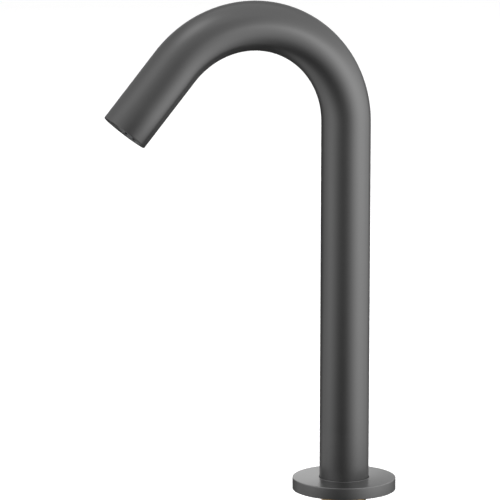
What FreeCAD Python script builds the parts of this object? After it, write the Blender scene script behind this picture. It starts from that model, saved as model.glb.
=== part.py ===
import FreeCAD, Part

import os

import Sketcher

# A deck-mounted sensor tap.  A bent tube spout swings on a turned brass base, which a back nut
# clamps to the deck.  The infrared eye sits beside the aerator in the mouth of the spout.  The
# water hose and the sensor lead run inside the tube.
#
# Millimetres.  Z is up, the deck is the plane z = 0, the column stands on the Z axis and the
# spout reaches towards -X.  Pieces of the outlet are drawn in the outlet's own axes: z runs out
# of the mouth, x points to the front of the spout, and z = 0 is the end of the tube.

SIZES = {
    # spout tube
    "tube_diameter": 28.6,
    "tube_wall": 1.5,
    "column_height": 216.5,  # deck to the start of the bend
    "bend_radius": 59.3,  # of the centre line
    "bend_angle": 139.8,
    "outlet_straight": 47.7,
    "rim_break": 0.35,  # edges of the tube's two ends
    # cover flange
    "flange_diameter": 60.0,
    "flange_height": 6.0,
    "flange_plate": 2.2,  # thickness round the tube
    "flange_seal_width": 2.2,  # between the collar and the flange's rim
    "flange_edge": 0.7,  # rounding of the top edge
    "flange_gap": 0.25,  # round the tube
    "bore_break": 0.45,  # chamfer at the mouth of the flange's bore
    # base body
    "collar_diameter": 45.6,
    "collar_thickness": 2.0,
    "spigot_wall": 2.8,
    "spigot_height": 40.5,
    "shank_diameter": 26.4,  # G 3/4 pipe thread
    "shank_length": 58.0,  # below the deck
    "shank_edge": 1.0,  # chamfer at its end
    "bore_step": 8.0,  # depth below the deck where the wide bore of the shank ends
    # swing and its stop
    "swing_gap": 0.07,  # between the spigot and the bush that turns on it
    "bush_wall": 1.33,
    "slip_thickness": 1.0,
    "bush_length": 39.0,
    "stop_height": 11.5,  # above the collar
    "stop_screw": 5.0,
    "stop_dog": 3.2,
    "stop_depth": 1.3,
    "stop_gap": 0.3,  # round the dog of the screw in its groove
    "stop_key": 2.5,  # across the flats
    "swing_limit": 60.0,  # degrees each way
    # seals
    "seal_gap": 0.02,  # between any seal or pressed piece and its seat
    "seal_height": 22.0,  # lower spigot groove, above the collar
    "seal_spacing": 8.0,
    "seal_depth": 1.3,
    "seal_width": 1.9,
    # clamp under the deck
    "gasket_thickness": 1.5,
    "gasket_diameter": 43.0,
    "gasket_clearance": 0.3,  # round the shank
    "deck_thickness": 30.0,
    "clamp_diameter": 46.0,
    "clamp_gasket_thickness": 3.0,
    "clamp_washer_thickness": 1.5,
    "nut_flats": 36.0,
    "nut_height": 8.0,
    "nut_edge": 1.2,  # height of the chamfer on its corners
    # water inlet and the joint that the hose turns on
    "pipe_diameter": 7.0,
    "pipe_bore": 4.4,
    "tail_diameter": 8.0,  # plain end for a push-fit connector
    "tail_length": 22.0,  # below the plug of the shank
    "tail_edge": 0.6,
    "clip_groove": 0.4,
    "clip_ring": 0.8,
    "clip_width": 1.4,
    "stem_diameter": 5.0,
    "stem_length": 16.0,
    "stem_bore": 3.0,
    "stem_groove": 0.45,
    "stem_seal": 4.0,  # lower ring above the foot of the stem
    "stem_seal_spacing": 5.0,
    "coupling_wall": 1.0,
    "coupling_lift": 1.0,  # its foot above the foot of the stem
    "plug_lip": 3.0,
    "plug_depth": 12.0,
    "plug_wall": 0.68,  # outside the socket
    "plug_slot": 3.0,
    "plug_slot_depth": 1.5,
    "guide_thickness": 4.0,
    # hose
    "hose_diameter": 7.0,
    "hose_bore": 5.0,
    "barb_length": 14.0,
    "barb_height": 0.3,
    "barbs": 3,
    "ferrule_wall": 0.4,
    "ferrule_length": 11.0,
    # sensor lead
    "lead_diameter": 2.4,
    "lead_clearance": 0.4,  # from the wall of the spigot's bore
    "lead_gap": 0.2,  # round the lead in its holes
    "slack_length": 60.0,
    "socket_diameter": 4.0,
    "socket_bore": 3.0,
    "socket_depth": 4.0,
    "socket_length": 8.0,
    "pin_diameter": 0.5,
    "pin_circle": 1.4,
    "clip_thickness": 4.0,
    "clip_wall": 0.9,
    "clip_spacing": 36.0,
    "clips": 3,
    # outlet insert
    "insert_recess": 0.6,  # its face inside the tube's end
    "insert_length": 19.0,
    "insert_gap": 0.05,
    "insert_groove": 1.1,
    "insert_seal": 2.4,  # its ring ahead of the insert's back
    "insert_screw": 3.0,
    "insert_screw_length": 3.0,
    "insert_key": 1.5,  # across the flats
    "screw_setback": 13.4,  # behind the tube's end
    # aerator
    "aerator_diameter": 16.5,
    "seat_wall": 0.55,  # insert outside the aerator's seat
    "aerator_gap": 0.05,
    "aerator_length": 9.0,
    "aerator_wall": 1.4,
    "washer_thickness": 1.0,
    "washer_width": 1.6,
    "mixing_depth": 2.0,
    "key_slots": 8,
    "key_width": 1.9,
    "key_depth": 1.3,
    "grid_recess": 0.8,
    "grid_pitch": 1.9,
    "grid_hole": 1.35,
    "grid_thickness": 2.0,
    "screen_thickness": 0.3,
    "screen_spacing": 0.7,
    "regulator_thickness": 2.4,
    "regulator_hole": 1.2,
    "regulator_circle": 3.6,  # radius that its holes lie on
    "strainer_height": 2.0,
    "strainer_wall": 0.4,
    # infrared eye
    "eye_rim": 0.75,  # insert outside the eye
    "eye_web": 0.8,  # insert between the eye and the aerator's seat
    "eye_spread": 1.8,  # centre to each round end
    "eye_length": 12.0,
    "eye_wall": 0.6,
    "eye_back": 1.2,
    "window_thickness": 1.2,
    "gasket_height": 0.4,
    "diode_diameter": 2.4,
    "diode_length": 4.0,
    "web_thickness": 0.6,
    "board_thickness": 0.8,
}

doc = FreeCAD.newDocument("sensor_tap")
sheet = doc.addObject("Spreadsheet::Sheet", "Sizes")
for row, (alias, size) in enumerate(SIZES.items(), 1):
    sheet.set(f"A{row}", str(size))
    sheet.setAlias(f"A{row}", alias)
doc.recompute()

# Levels and radii that several pieces share.
COLLAR_TOP = "(gasket_thickness + collar_thickness)"
TUBE_FOOT = f"({COLLAR_TOP} + slip_thickness)"
SPIGOT_TOP = f"({COLLAR_TOP} + spigot_height)"
TUBE_BORE = "(tube_diameter / 2 - tube_wall)"
BUSH_BORE = f"({TUBE_BORE} - bush_wall)"
SPIGOT = f"({BUSH_BORE} - swing_gap)"
SPIGOT_BORE = f"({SPIGOT} - spigot_wall)"
STOP_LEVEL = f"({COLLAR_TOP} + stop_height)"
STOP_ROOT = f"({SPIGOT} - stop_depth)"
FLANGE_CEILING = "(flange_height - flange_plate)"
FLANGE_HOLLOW = "(collar_diameter / 2 + flange_seal_width)"
LEAD_OFFSET = f"({SPIGOT_BORE} - lead_clearance - lead_diameter / 2)"
SHANK_BORE = f"({LEAD_OFFSET} + socket_diameter / 2 + plug_wall)"
SEAL_LEVELS = [f"({COLLAR_TOP} + seal_height + {k} * seal_spacing)" for k in range(2)]
SHANK = "(shank_diameter / 2)"
SHANK_END = "(0 - shank_length)"
GASKET_BORE = "(shank_diameter / 2 + gasket_clearance)"
CLAMP_GASKET_FOOT = "(0 - deck_thickness - clamp_gasket_thickness)"
CLAMP_WASHER_FOOT = f"({CLAMP_GASKET_FOOT} - clamp_washer_thickness)"
PLUG_FOOT = f"({SHANK_END} - plug_lip)"
PLUG_TOP = f"({SHANK_END} + plug_depth)"
PIPE_FOOT = f"({PLUG_FOOT} - tail_length)"
CLIP_LEVEL = f"({PLUG_TOP} + clip_ring / 2)"
STEM = "(stem_diameter / 2)"
STEM_TOP = f"({SPIGOT_TOP} + stem_length)"
STEM_LEVELS = [f"({SPIGOT_TOP} + stem_seal + {k} * stem_seal_spacing)" for k in range(2)]
COUPLING_BORE = "(stem_diameter / 2 + swing_gap)"
COUPLING_FOOT = f"({SPIGOT_TOP} + coupling_lift)"
COUPLING_TOP = f"({STEM_TOP} + coupling_lift)"
HOSE_FOOT = f"({COUPLING_TOP} + coupling_wall)"
LEAD_FOOT = f"({PLUG_FOOT} + socket_length)"
LEAD_TOP = f"({SPIGOT_TOP} + 1)"
SLACK_TOP = f"({LEAD_TOP} + slack_length)"
INSERT_RADIUS = "(tube_diameter / 2 - tube_wall - insert_gap)"
INSERT_FACE = "(0 - insert_recess)"
INSERT_BACK = "(0 - insert_recess - insert_length)"
INSERT_SEAL = f"({INSERT_BACK} + insert_seal)"
AERATOR = "(aerator_diameter / 2)"
AERATOR_SEAT = "(aerator_diameter / 2 + aerator_gap)"
AERATOR_AXIS = f"({AERATOR_SEAT} + seat_wall - {INSERT_RADIUS})"
SEAT_FRONT = f"({AERATOR_AXIS} + {AERATOR_SEAT})"
AERATOR_BACK = f"({INSERT_FACE} - aerator_length)"
AERATOR_INSIDE = "(aerator_diameter / 2 - aerator_wall - seal_gap)"
WASHER_BACK = f"({AERATOR_BACK} - washer_thickness)"
GRID_BACK = f"({INSERT_FACE} - grid_recess - grid_thickness)"
SCREEN_BACKS = [
    f"({GRID_BACK} - {k} * screen_spacing - {k} * screen_thickness)" for k in range(1, 3)
]
REGULATOR_BACK = f"({SCREEN_BACKS[1]} - regulator_thickness)"
EYE_RADIUS = f"(({INSERT_RADIUS} - eye_rim - {SEAT_FRONT} - eye_web) / 2)"
EYE_AXIS = f"({SEAT_FRONT} + eye_web + {EYE_RADIUS})"
EYE_BACK = f"({INSERT_FACE} - eye_length)"
WINDOW_BACK = f"({INSERT_FACE} - window_thickness)"
EYE_SHELL_FACE = f"({WINDOW_BACK} - gasket_height)"
EYE_INSIDE = f"({EYE_RADIUS} - eye_wall)"
BOARD_FACE = f"({EYE_SHELL_FACE} - diode_length - 1)"

nodes = []


def ex(text):
    """Turns plain size names into references to the sheet."""
    out = []
    word = ""
    for letter in text + " ":
        if letter.isalnum() or letter == "_":
            word += letter
            continue
        out.append(f"Sizes.{word}" if word in SIZES else word)
        out.append(letter)
        word = ""
    return "".join(out).strip()


def number(text):
    """The value that an expression has now."""
    result = sheet.evalExpression(ex(text))
    return float(getattr(result, "Value", result))


def outlet_point(ahead, out):
    """World X and Z of a point of the outlet: ahead along its x axis and out along its z axis."""
    along = f"(outlet_straight + {out})"
    across = f"(bend_radius + {ahead})"
    x = f"(0 - bend_radius + {across} * cos(bend_angle) - {along} * sin(bend_angle))"
    z = f"(column_height + {across} * sin(bend_angle) + {along} * cos(bend_angle))"
    return x, z


def to_outlet(item, ahead="0", out="0"):
    """Moves a piece that is drawn in the outlet's axes to the end of the spout."""
    x, z = outlet_point(ahead, out)
    turn = FreeCAD.Rotation(FreeCAD.Vector(0, -1, 0), number("bend_angle"))
    item.Placement = FreeCAD.Placement(FreeCAD.Vector(number(x), 0, number(z)), turn)
    item.setExpression(".Placement.Base.x", ex(x))
    item.setExpression(".Placement.Base.z", ex(z))
    item.setExpression(".Placement.Rotation.Angle", ex("bend_angle"))
    return item


def node(item, label=None):
    """Names a piece and lists it as a sub-part."""
    item.Label = label or item.Label
    nodes.append(item)
    return item


# ---------------------------------------------------------------- sketches

def new_sketch(body, name, plane="XY_Plane", level=None):
    """A sketch on one of the body's own planes, moved along the plane's normal to level."""
    sketch = body.newObject("Sketcher::SketchObject", f"{body.Name}_{name}")
    support = next(item for item in body.Origin.OriginFeatures if item.Role == plane)
    sketch.AttachmentSupport = (support, [""])
    sketch.MapMode = "FlatFace"
    if level is not None:
        sketch.setExpression("AttachmentOffset.Base.z", ex(level))
    return sketch


def hold(sketch, geometry, point, x, y):
    """Ties one point of a sketch to two expressions, measured from the sketch's origin."""
    for kind, axis, text in (("DistanceX", -2, x), ("DistanceY", -1, y)):
        if text == "0":
            sketch.addConstraint(Sketcher.Constraint("PointOnObject", geometry, point, axis))
            continue
        index = sketch.addConstraint(
            Sketcher.Constraint(kind, -1, 1, geometry, point, number(text))
        )
        sketch.setExpression(f"Constraints[{index}]", ex(text))


def place(x, y):
    return FreeCAD.Vector(number(x), number(y), 0)


def polygon(sketch, points):
    """A closed outline through points given as pairs of expressions."""
    places = [place(x, y) for x, y in points]
    first = sketch.GeometryCount
    for start, end in zip(places, places[1:] + places[:1]):
        sketch.addGeometry(Part.LineSegment(start, end))
    for side, (x, y) in enumerate(points):
        after = (side + 1) % len(points)
        sketch.addConstraint(Sketcher.Constraint("Coincident", first + side, 2, first + after, 1))
        hold(sketch, first + side, 1, x, y)


def circle(sketch, x, y, radius):
    """A circle whose centre and radius are expressions."""
    shape = Part.Circle(place(x, y), FreeCAD.Vector(0, 0, 1), number(radius))
    index = sketch.addGeometry(shape)
    hold(sketch, index, 3, x, y)
    size = sketch.addConstraint(Sketcher.Constraint("Radius", index, number(radius)))
    sketch.setExpression(f"Constraints[{size}]", ex(radius))


def hexagon(sketch, flats, start=0):
    """A hexagon about the origin, given by the distance across its flats."""
    corner = f"({flats}) / 2 / cos(30)"
    angles = [start + 60 * k for k in range(6)]
    points = [(f"{corner} * cos({angle})", f"{corner} * sin({angle})") for angle in angles]
    polygon(
        sketch,
        [
            ("0" if angle % 180 == 90 else x, "0" if angle % 180 == 0 else y)
            for angle, (x, y) in zip(angles, points)
        ],
    )


def slot(sketch, x, spread, radius):
    """A slot along the sketch's y axis, about the point x, 0: two lines and two half circles."""
    left, right = f"{x} - {radius}", f"{x} + {radius}"
    low, high = f"0 - {spread}", spread
    sides = []
    for edge in (left, right):
        sides.append(sketch.addGeometry(Part.LineSegment(place(edge, low), place(edge, high))))
        hold(sketch, sides[-1], 1, edge, low)
        hold(sketch, sides[-1], 2, edge, high)
    for level, first, last, end in ((high, right, left, 2), (low, left, right, 1)):
        crown = f"{level} + {radius}" if end == 2 else f"{level} - {radius}"
        arc = Part.Arc(place(first, level), place(x, crown), place(last, level))
        index = sketch.addGeometry(arc)
        start_line, end_line = (sides[1], sides[0]) if end == 2 else (sides[0], sides[1])
        sketch.addConstraint(Sketcher.Constraint("Coincident", index, 1, start_line, end))
        sketch.addConstraint(Sketcher.Constraint("Coincident", index, 2, end_line, end))
        middle = sketch.addConstraint(
            Sketcher.Constraint("DistanceY", -1, 1, index, 3, number(level))
        )
        sketch.setExpression(f"Constraints[{middle}]", ex(level))


def centre_path(body, offset, foot, setback):
    """The spout's centre line, moved outwards by offset, from height foot to the mouth."""
    sketch = new_sketch(body, "path", "XZ_Plane")
    centre = place("0 - bend_radius", "column_height")
    corner = place(*outlet_point(offset, "0 - outlet_straight"))
    end = outlet_point(offset, f"0 - {setback}")
    bend_start = place(offset, "column_height")
    column = sketch.addGeometry(Part.LineSegment(place(offset, foot), bend_start))
    circle_line = Part.Circle(centre, FreeCAD.Vector(0, 0, 1), number(f"bend_radius + {offset}"))
    sweep = FreeCAD.Units.Quantity(number("bend_angle"), FreeCAD.Units.Angle).getValueAs("rad")
    arch = sketch.addGeometry(Part.ArcOfCircle(circle_line, 0, float(sweep)))
    outlet = sketch.addGeometry(Part.LineSegment(corner, place(*end)))
    hold(sketch, column, 1, offset, foot)
    hold(sketch, column, 2, offset, "column_height")
    hold(sketch, arch, 3, "0 - bend_radius", "column_height")
    sketch.addConstraint(Sketcher.Constraint("Coincident", column, 2, arch, 1))
    sketch.addConstraint(Sketcher.Constraint("Tangent", arch, 2, outlet, 1))
    hold(sketch, outlet, 2, *end)
    return sketch


# ---------------------------------------------------------------- features

def new_body(label, listed=True):
    body = doc.addObject("PartDesign::Body", label)
    body.Label = label
    if listed:
        nodes.append(body)
    return body


def finish(body, feature, cuts=False):
    """Recomputes, and stops if a cut took nothing away."""
    before = body.Shape.Volume if cuts else 0
    body.Tip = feature
    doc.recompute()
    if cuts and feature.Shape.Volume > before - 1e-6:
        raise RuntimeError(f"{feature.Name} cut nothing")
    return feature


def pad(body, sketch, length):
    """Pads a sketch along its plane's normal."""
    feature = body.newObject("PartDesign::Pad", f"{sketch.Name}_pad")
    feature.Profile = sketch
    feature.setExpression("Length", ex(length))
    return finish(body, feature)


def pocket(body, sketch, length, forward=True):
    """Cuts a sketch along its plane's normal, or against it where forward is False."""
    feature = body.newObject("PartDesign::Pocket", f"{sketch.Name}_cut")
    feature.Profile = sketch
    feature.setExpression("Length", ex(length))
    feature.Reversed = forward
    return finish(body, feature, cuts=True)


def turn_away(body, sketch, angle=None):
    """Turns a section away about Z, all round or through an angle about the sketch's plane."""
    groove = body.newObject("PartDesign::Groove", f"{sketch.Name}_groove")
    groove.Profile = sketch
    groove.ReferenceAxis = (sketch, ["V_Axis"])
    groove.Angle = 360
    if angle:
        groove.Midplane = True
        groove.setExpression("Angle", ex(angle))
    return finish(body, groove, cuts=True)


def drill(body, name, x, y, radius, level, depth, plane="XY_Plane", forward=True):
    """A round hole that starts at level and runs for depth."""
    sketch = new_sketch(body, name, plane, level)
    circle(sketch, x, y, radius)
    return pocket(body, sketch, depth, forward)


def turned(label, points, plane="XZ_Plane", axis="V_Axis", listed=True):
    """A turned piece: a closed half section, revolved about Z or, where asked, about X."""
    body = new_body(label, listed)
    sketch = new_sketch(body, "section", plane)
    polygon(sketch, points)
    revolution = body.newObject("PartDesign::Revolution", f"{label}_turning")
    revolution.Profile = sketch
    revolution.ReferenceAxis = (sketch, [axis])
    revolution.Angle = 360
    finish(body, revolution)
    return body


def tube_section(inner, outer, foot, top):
    """The half section of a plain ring."""
    return [(inner, foot), (outer, foot), (outer, top), (inner, top)]


def grooved(radius, levels, depth, half_width):
    """The points of square grooves in the outside of a turned section, from the lowest up."""
    points = []
    for level in levels:
        low, high = f"{level} - ({half_width})", f"{level} + ({half_width})"
        root = f"{radius} - ({depth})"
        points += [(radius, low), (root, low), (root, high), (radius, high)]
    return points


def barbed(radius, foot, direction):
    """The points of a hose barb, saw teeth that fall away towards its tip."""
    points = []
    for k in range(number_of("barbs")):
        root = f"({foot} {direction} barb_length * {k} / barbs)"
        points += [(radius, root), (f"{radius} + barb_height", root)]
    points.append((radius, f"{foot} {direction} barb_length"))
    return points


def number_of(name):
    return int(round(number(name)))


def break_edges(body, kind, size, test):
    """Chamfers or fillets the edges of the tip whose every point passes the test."""
    tip = body.Tip
    names = []
    for index, edge in enumerate(tip.Shape.Edges, 1):
        middle = edge.valueAt((edge.FirstParameter + edge.LastParameter) / 2)
        if all(test(point) for point in [vertex.Point for vertex in edge.Vertexes] + [middle]):
            names.append(f"Edge{index}")
    if not names:
        raise RuntimeError(f"{body.Label}: no edge to break")
    feature = body.newObject(f"PartDesign::{kind}", f"{body.Name}_{kind}")
    feature.Base = (tip, names)
    feature.setExpression("Radius" if kind == "Fillet" else "Size", ex(size))
    return finish(body, feature)


def on_circle(level, radius, room=0.01):
    """A test for the edges of a round rim about the Z axis."""
    height, reach = number(level), number(radius)

    def test(point):
        around = (point.x ** 2 + point.y ** 2) ** 0.5
        return abs(point.z - height) < room and abs(around - reach) < room

    return test


def piped(label, radii, offset, foot, setback, listed=True):
    """A pipe, or a rod where one radius is given, along the spout's centre line."""
    body = new_body(label, listed)
    path = centre_path(body, offset, foot, setback)
    ring = new_sketch(body, "ring", "XY_Plane", foot)
    for radius in radii:
        circle(ring, offset, "0", radius)
    pipe = body.newObject("PartDesign::AdditivePipe", f"{label}_sweep")
    pipe.Profile = ring
    pipe.Spine = (path, ["Edge1", "Edge2", "Edge3"])
    finish(body, pipe)
    return body


def ring_seal(label, inner, outer, level, listed=False):
    """An O-ring between two radii, less the gap that every seal has in its seat, with eight flats."""
    middle, half = f"({inner} + {outer}) / 2", f"(({outer} - {inner}) / 2 - seal_gap)"
    flat = f"{half} * tan(22.5)"
    corners = [
        (f"- {half}", f"- {flat}"), (f"- {flat}", f"- {half}"),
        (f"+ {flat}", f"- {half}"), (f"+ {half}", f"- {flat}"),
        (f"+ {half}", f"+ {flat}"), (f"+ {flat}", f"+ {half}"),
        (f"- {flat}", f"+ {half}"), (f"- {half}", f"+ {flat}"),
    ]
    return turned(label, [(f"{middle} {x}", f"{level} {z}") for x, z in corners], listed=listed)


def group(label, items):
    """Several like solids that share one node."""
    compound = doc.addObject("Part::Compound", label)
    compound.Links = items
    doc.recompute()
    return node(compound, label)


# ---------------------------------------------------------------- base, fixed to the deck

def make_base_body():
    """Shank, collar and spigot in one turning, bored through for the pipe and the lead."""
    section = [
        (SHANK_BORE, SHANK_END),
        (f"{SHANK} - shank_edge", SHANK_END),
        (SHANK, f"{SHANK_END} + shank_edge"),
        (SHANK, "gasket_thickness"),
        ("collar_diameter / 2", "gasket_thickness"),
        ("collar_diameter / 2", COLLAR_TOP),
        (SPIGOT, COLLAR_TOP),
    ]
    section += grooved(SPIGOT, SEAL_LEVELS, "seal_depth", "seal_width / 2")
    section += [
        (SPIGOT, SPIGOT_TOP),
        (SPIGOT_BORE, SPIGOT_TOP),
        (SPIGOT_BORE, "0 - bore_step"),
        (SHANK_BORE, "0 - bore_step"),
    ]
    body = turned("base_body", section)

    stop = new_sketch(body, "stop", "XZ_Plane")
    half = "(stop_dog / 2 + stop_gap)"
    outside = f"({SPIGOT} + 1)"
    polygon(stop, tube_section(STOP_ROOT, outside, f"{STOP_LEVEL} - {half}", f"{STOP_LEVEL} + {half}"))
    dog_angle = f"asin({half} / {STOP_ROOT}) / 1deg"
    turn_away(body, stop, f"2 * (swing_limit + {dog_angle})")
    return body


def make_cover_flange():
    """A plate round the tube on a rim that stands on the deck; it drops over the collar."""
    outer, bore = "flange_diameter / 2", "(tube_diameter / 2 + flange_gap)"
    body = turned(
        "cover_flange",
        [
            (FLANGE_HOLLOW, "0"),
            (outer, "0"),
            (outer, "flange_height"),
            (bore, "flange_height"),
            (bore, FLANGE_CEILING),
            (FLANGE_HOLLOW, FLANGE_CEILING),
        ],
    )
    break_edges(body, "Fillet", "flange_edge", on_circle("flange_height", outer))
    break_edges(body, "Chamfer", "bore_break", on_circle("flange_height", bore))
    return body


def make_base_seals():
    """Rings that seal the flange and the spigot, and the rings that the tube and deck rest on."""
    level = "(gasket_thickness + collar_thickness / 2)"
    ring_seal("flange_o_ring", "(collar_diameter / 2)", FLANGE_HOLLOW, level, listed=True)
    rings = [
        ring_seal(f"spigot_seal_{k}", f"({SPIGOT} - seal_depth)", BUSH_BORE, level)
        for k, level in enumerate(SEAL_LEVELS)
    ]
    group("spigot_o_rings", rings)
    slip_edge = "(tube_diameter / 2 - rim_break)"
    turned("slip_ring", tube_section(BUSH_BORE, slip_edge, COLLAR_TOP, TUBE_FOOT))
    turned("deck_gasket", tube_section(GASKET_BORE, "gasket_diameter / 2", "0", "gasket_thickness"))


def make_clamp():
    """Rubber, steel washer and back nut on the shank, under a deck of deck_thickness."""
    edge = "clamp_diameter / 2"
    deck = "0 - deck_thickness"
    turned("clamp_gasket", tube_section(GASKET_BORE, edge, CLAMP_GASKET_FOOT, deck))
    turned("clamp_washer", tube_section(GASKET_BORE, edge, CLAMP_WASHER_FOOT, CLAMP_GASKET_FOOT))
    nut = new_body("back_nut")
    foot = f"({CLAMP_WASHER_FOOT} - nut_height)"
    flats = new_sketch(nut, "flats", "XY_Plane", foot)
    hexagon(flats, "nut_flats")
    circle(flats, "0", "0", f"{SHANK} + seal_gap")
    pad(nut, flats, "nut_height")
    corner = "(nut_flats / 2 / cos(30) + 0.1)"
    edge = new_sketch(nut, "edge", "XZ_Plane")
    polygon(
        edge,
        [(f"{corner} - nut_edge / tan(30)", foot), (corner, foot), (corner, f"{foot} + nut_edge")],
    )
    turn_away(nut, edge)


def make_inlet():
    """The pipe that brings the water up to the swing joint, and what holds it in the base."""
    pipe, tail, bore = "(pipe_diameter / 2)", "(tail_diameter / 2)", "pipe_bore / 2"
    section = [
        (bore, PIPE_FOOT),
        (f"{tail} - tail_edge", PIPE_FOOT),
        (tail, f"{PIPE_FOOT} + tail_edge"),
        (tail, PLUG_FOOT),
        (pipe, PLUG_FOOT),
    ]
    section += grooved(pipe, [CLIP_LEVEL], "clip_groove", "clip_ring / 2")
    section += [(pipe, SPIGOT_TOP), (STEM, SPIGOT_TOP)]
    section += grooved(STEM, STEM_LEVELS, "stem_groove", "stem_groove + 0.3")
    section += [
        (STEM, STEM_TOP),
        ("stem_bore / 2", STEM_TOP),
        ("stem_bore / 2", SPIGOT_TOP),
        (bore, SPIGOT_TOP),
    ]
    turned("inlet_pipe", section)
    root = f"({pipe} - clip_groove)"
    foot = f"({CLIP_LEVEL} - clip_ring / 2)"
    turned("pipe_clip", tube_section(root, f"{root} + clip_width", foot, f"{foot} + clip_ring"))
    rings = [
        ring_seal(f"stem_seal_{k}", f"({STEM} - stem_groove)", COUPLING_BORE, level)
        for k, level in enumerate(STEM_LEVELS)
    ]
    group("stem_o_rings", rings)

    pipe_hole = "(pipe_diameter / 2 + seal_gap)"
    body = turned(
        "shank_plug",
        [
            (pipe_hole, PLUG_FOOT),
            (SHANK, PLUG_FOOT),
            (SHANK, SHANK_END),
            (f"{SHANK_BORE} - seal_gap", SHANK_END),
            (f"{SHANK_BORE} - seal_gap", PLUG_TOP),
            (pipe_hole, PLUG_TOP),
        ],
    )
    seat = "(socket_diameter / 2 + seal_gap)"
    drill(body, "socket_seat", LEAD_OFFSET, "0", seat, PLUG_FOOT, "plug_depth + plug_lip")
    slots = new_sketch(body, "slots", "XY_Plane", PLUG_FOOT)
    half, inner, outer = "(plug_slot / 2)", f"({SHANK} - 3)", f"({SHANK} + 1)"
    polygon(slots, [(f"0 - {half}", inner), (half, inner), (half, outer), (f"0 - {half}", outer)])
    first = pocket(body, slots, "plug_slot_depth")
    both = body.newObject("PartDesign::PolarPattern", "shank_plug_slots")
    both.Originals = [first]
    both.Axis = (slots, ["N_Axis"])
    both.Occurrences = 2
    finish(body, both)

    guide = turned(
        "pipe_guide",
        tube_section(
            pipe_hole, f"{SPIGOT_BORE} - seal_gap", f"{SPIGOT_TOP} - guide_thickness", SPIGOT_TOP
        ),
    )
    way = "(lead_diameter / 2 + lead_gap / 2)"
    foot = f"{SPIGOT_TOP} - guide_thickness"
    drill(guide, "lead_way", LEAD_OFFSET, "0", way, foot, "guide_thickness")


def make_lead_foot():
    """The lead's socket in the plug, its pins, and the lead from there up through the base."""
    shell = new_body("lead_socket")
    ring = new_sketch(shell, "ring", "XY_Plane", PLUG_FOOT)
    circle(ring, LEAD_OFFSET, "0", "socket_diameter / 2")
    pad(shell, ring, "socket_length")
    drill(shell, "mouth", LEAD_OFFSET, "0", "socket_bore / 2", PLUG_FOOT, "socket_depth")

    pins = new_body("socket_pins")
    feet = new_sketch(pins, "feet", "XY_Plane", f"{PLUG_FOOT} + 0.6")
    for angle in (0, 120, 240):
        x = f"{LEAD_OFFSET} + pin_circle / 2 * cos({angle})"
        y = f"pin_circle / 2 * sin({angle})" if angle else "0"
        circle(feet, x, y, "pin_diameter / 2")
    pad(pins, feet, "socket_depth - 0.6")

    for label, foot, length in (
        ("lead_tail", LEAD_FOOT, f"{LEAD_TOP} - {LEAD_FOOT}"),
        ("lead_slack", LEAD_TOP, "slack_length"),
    ):
        run = new_body(label)
        end = new_sketch(run, "end", "XY_Plane", foot)
        circle(end, LEAD_OFFSET, "0", "lead_diameter / 2")
        pad(run, end, length)


# ---------------------------------------------------------------- spout, swings on the base

def make_spout_tube():
    """The bent tube, with the holes for the stop screw and for the insert's screw."""
    outer = "(tube_diameter / 2)"
    body = piped("bent_tube", [outer, TUBE_BORE], "0", TUBE_FOOT, "0", listed=False)
    break_edges(body, "Chamfer", "rim_break", on_circle(TUBE_FOOT, outer))
    x, z = outlet_point("0", "0")
    mouth, reach = FreeCAD.Vector(number(x), 0, number(z)), number(outer)
    break_edges(body, "Fillet", "rim_break", lambda point: abs((point - mouth).Length - reach) < 0.01)
    drill(body, "stop", "0", STOP_LEVEL, "stop_screw / 2", "0", "tube_diameter", "YZ_Plane")

    tool = doc.addObject("Part::Cylinder", "screw_tool")
    tool.setExpression("Radius", ex("insert_screw / 2"))
    tool.setExpression("Height", ex("tube_diameter"))
    to_outlet(tool, "0", "0 - screw_setback")
    tool.setExpression(".Placement.Rotation.Angle", ex("bend_angle + 90"))
    drilled = doc.addObject("Part::Cut", "spout_tube")
    drilled.Base = body
    drilled.Tool = tool
    doc.recompute()
    return node(drilled, "spout_tube")


def make_foot_bush():
    """Brazed into the foot of the tube; it turns on the spigot."""
    section = tube_section(BUSH_BORE, TUBE_BORE, TUBE_FOOT, f"{TUBE_FOOT} + bush_length")
    body = turned("foot_bush", section)
    drill(body, "stop", "0", STOP_LEVEL, "stop_screw / 2", "0", "tube_diameter", "YZ_Plane")
    return body


def screw(label, points, key, head, depth, forward=False):
    """A grub screw turned about X, with a hexagon socket that is cut from x = head."""
    body = turned(label, points, "XY_Plane", "H_Axis")
    socket = new_sketch(body, "socket", "YZ_Plane", head)
    hexagon(socket, key)
    pocket(body, socket, depth, forward)
    return body


def make_stop_screw():
    """Its dog runs in the groove of the spigot: it keeps the spout down and limits the swing."""
    tip, step = f"{STOP_ROOT} + stop_gap", f"{BUSH_BORE} + 0.1"
    head = "tube_diameter / 2 - 0.4"
    thread, dog = "stop_screw / 2 - seal_gap", "stop_dog / 2"
    points = [(tip, "0"), (head, "0"), (head, thread), (step, thread), (step, dog), (tip, dog)]
    body = screw("stop_screw", points, "stop_key", head, "1.3")
    body.setExpression(".Placement.Base.z", ex(STOP_LEVEL))
    return body


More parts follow.
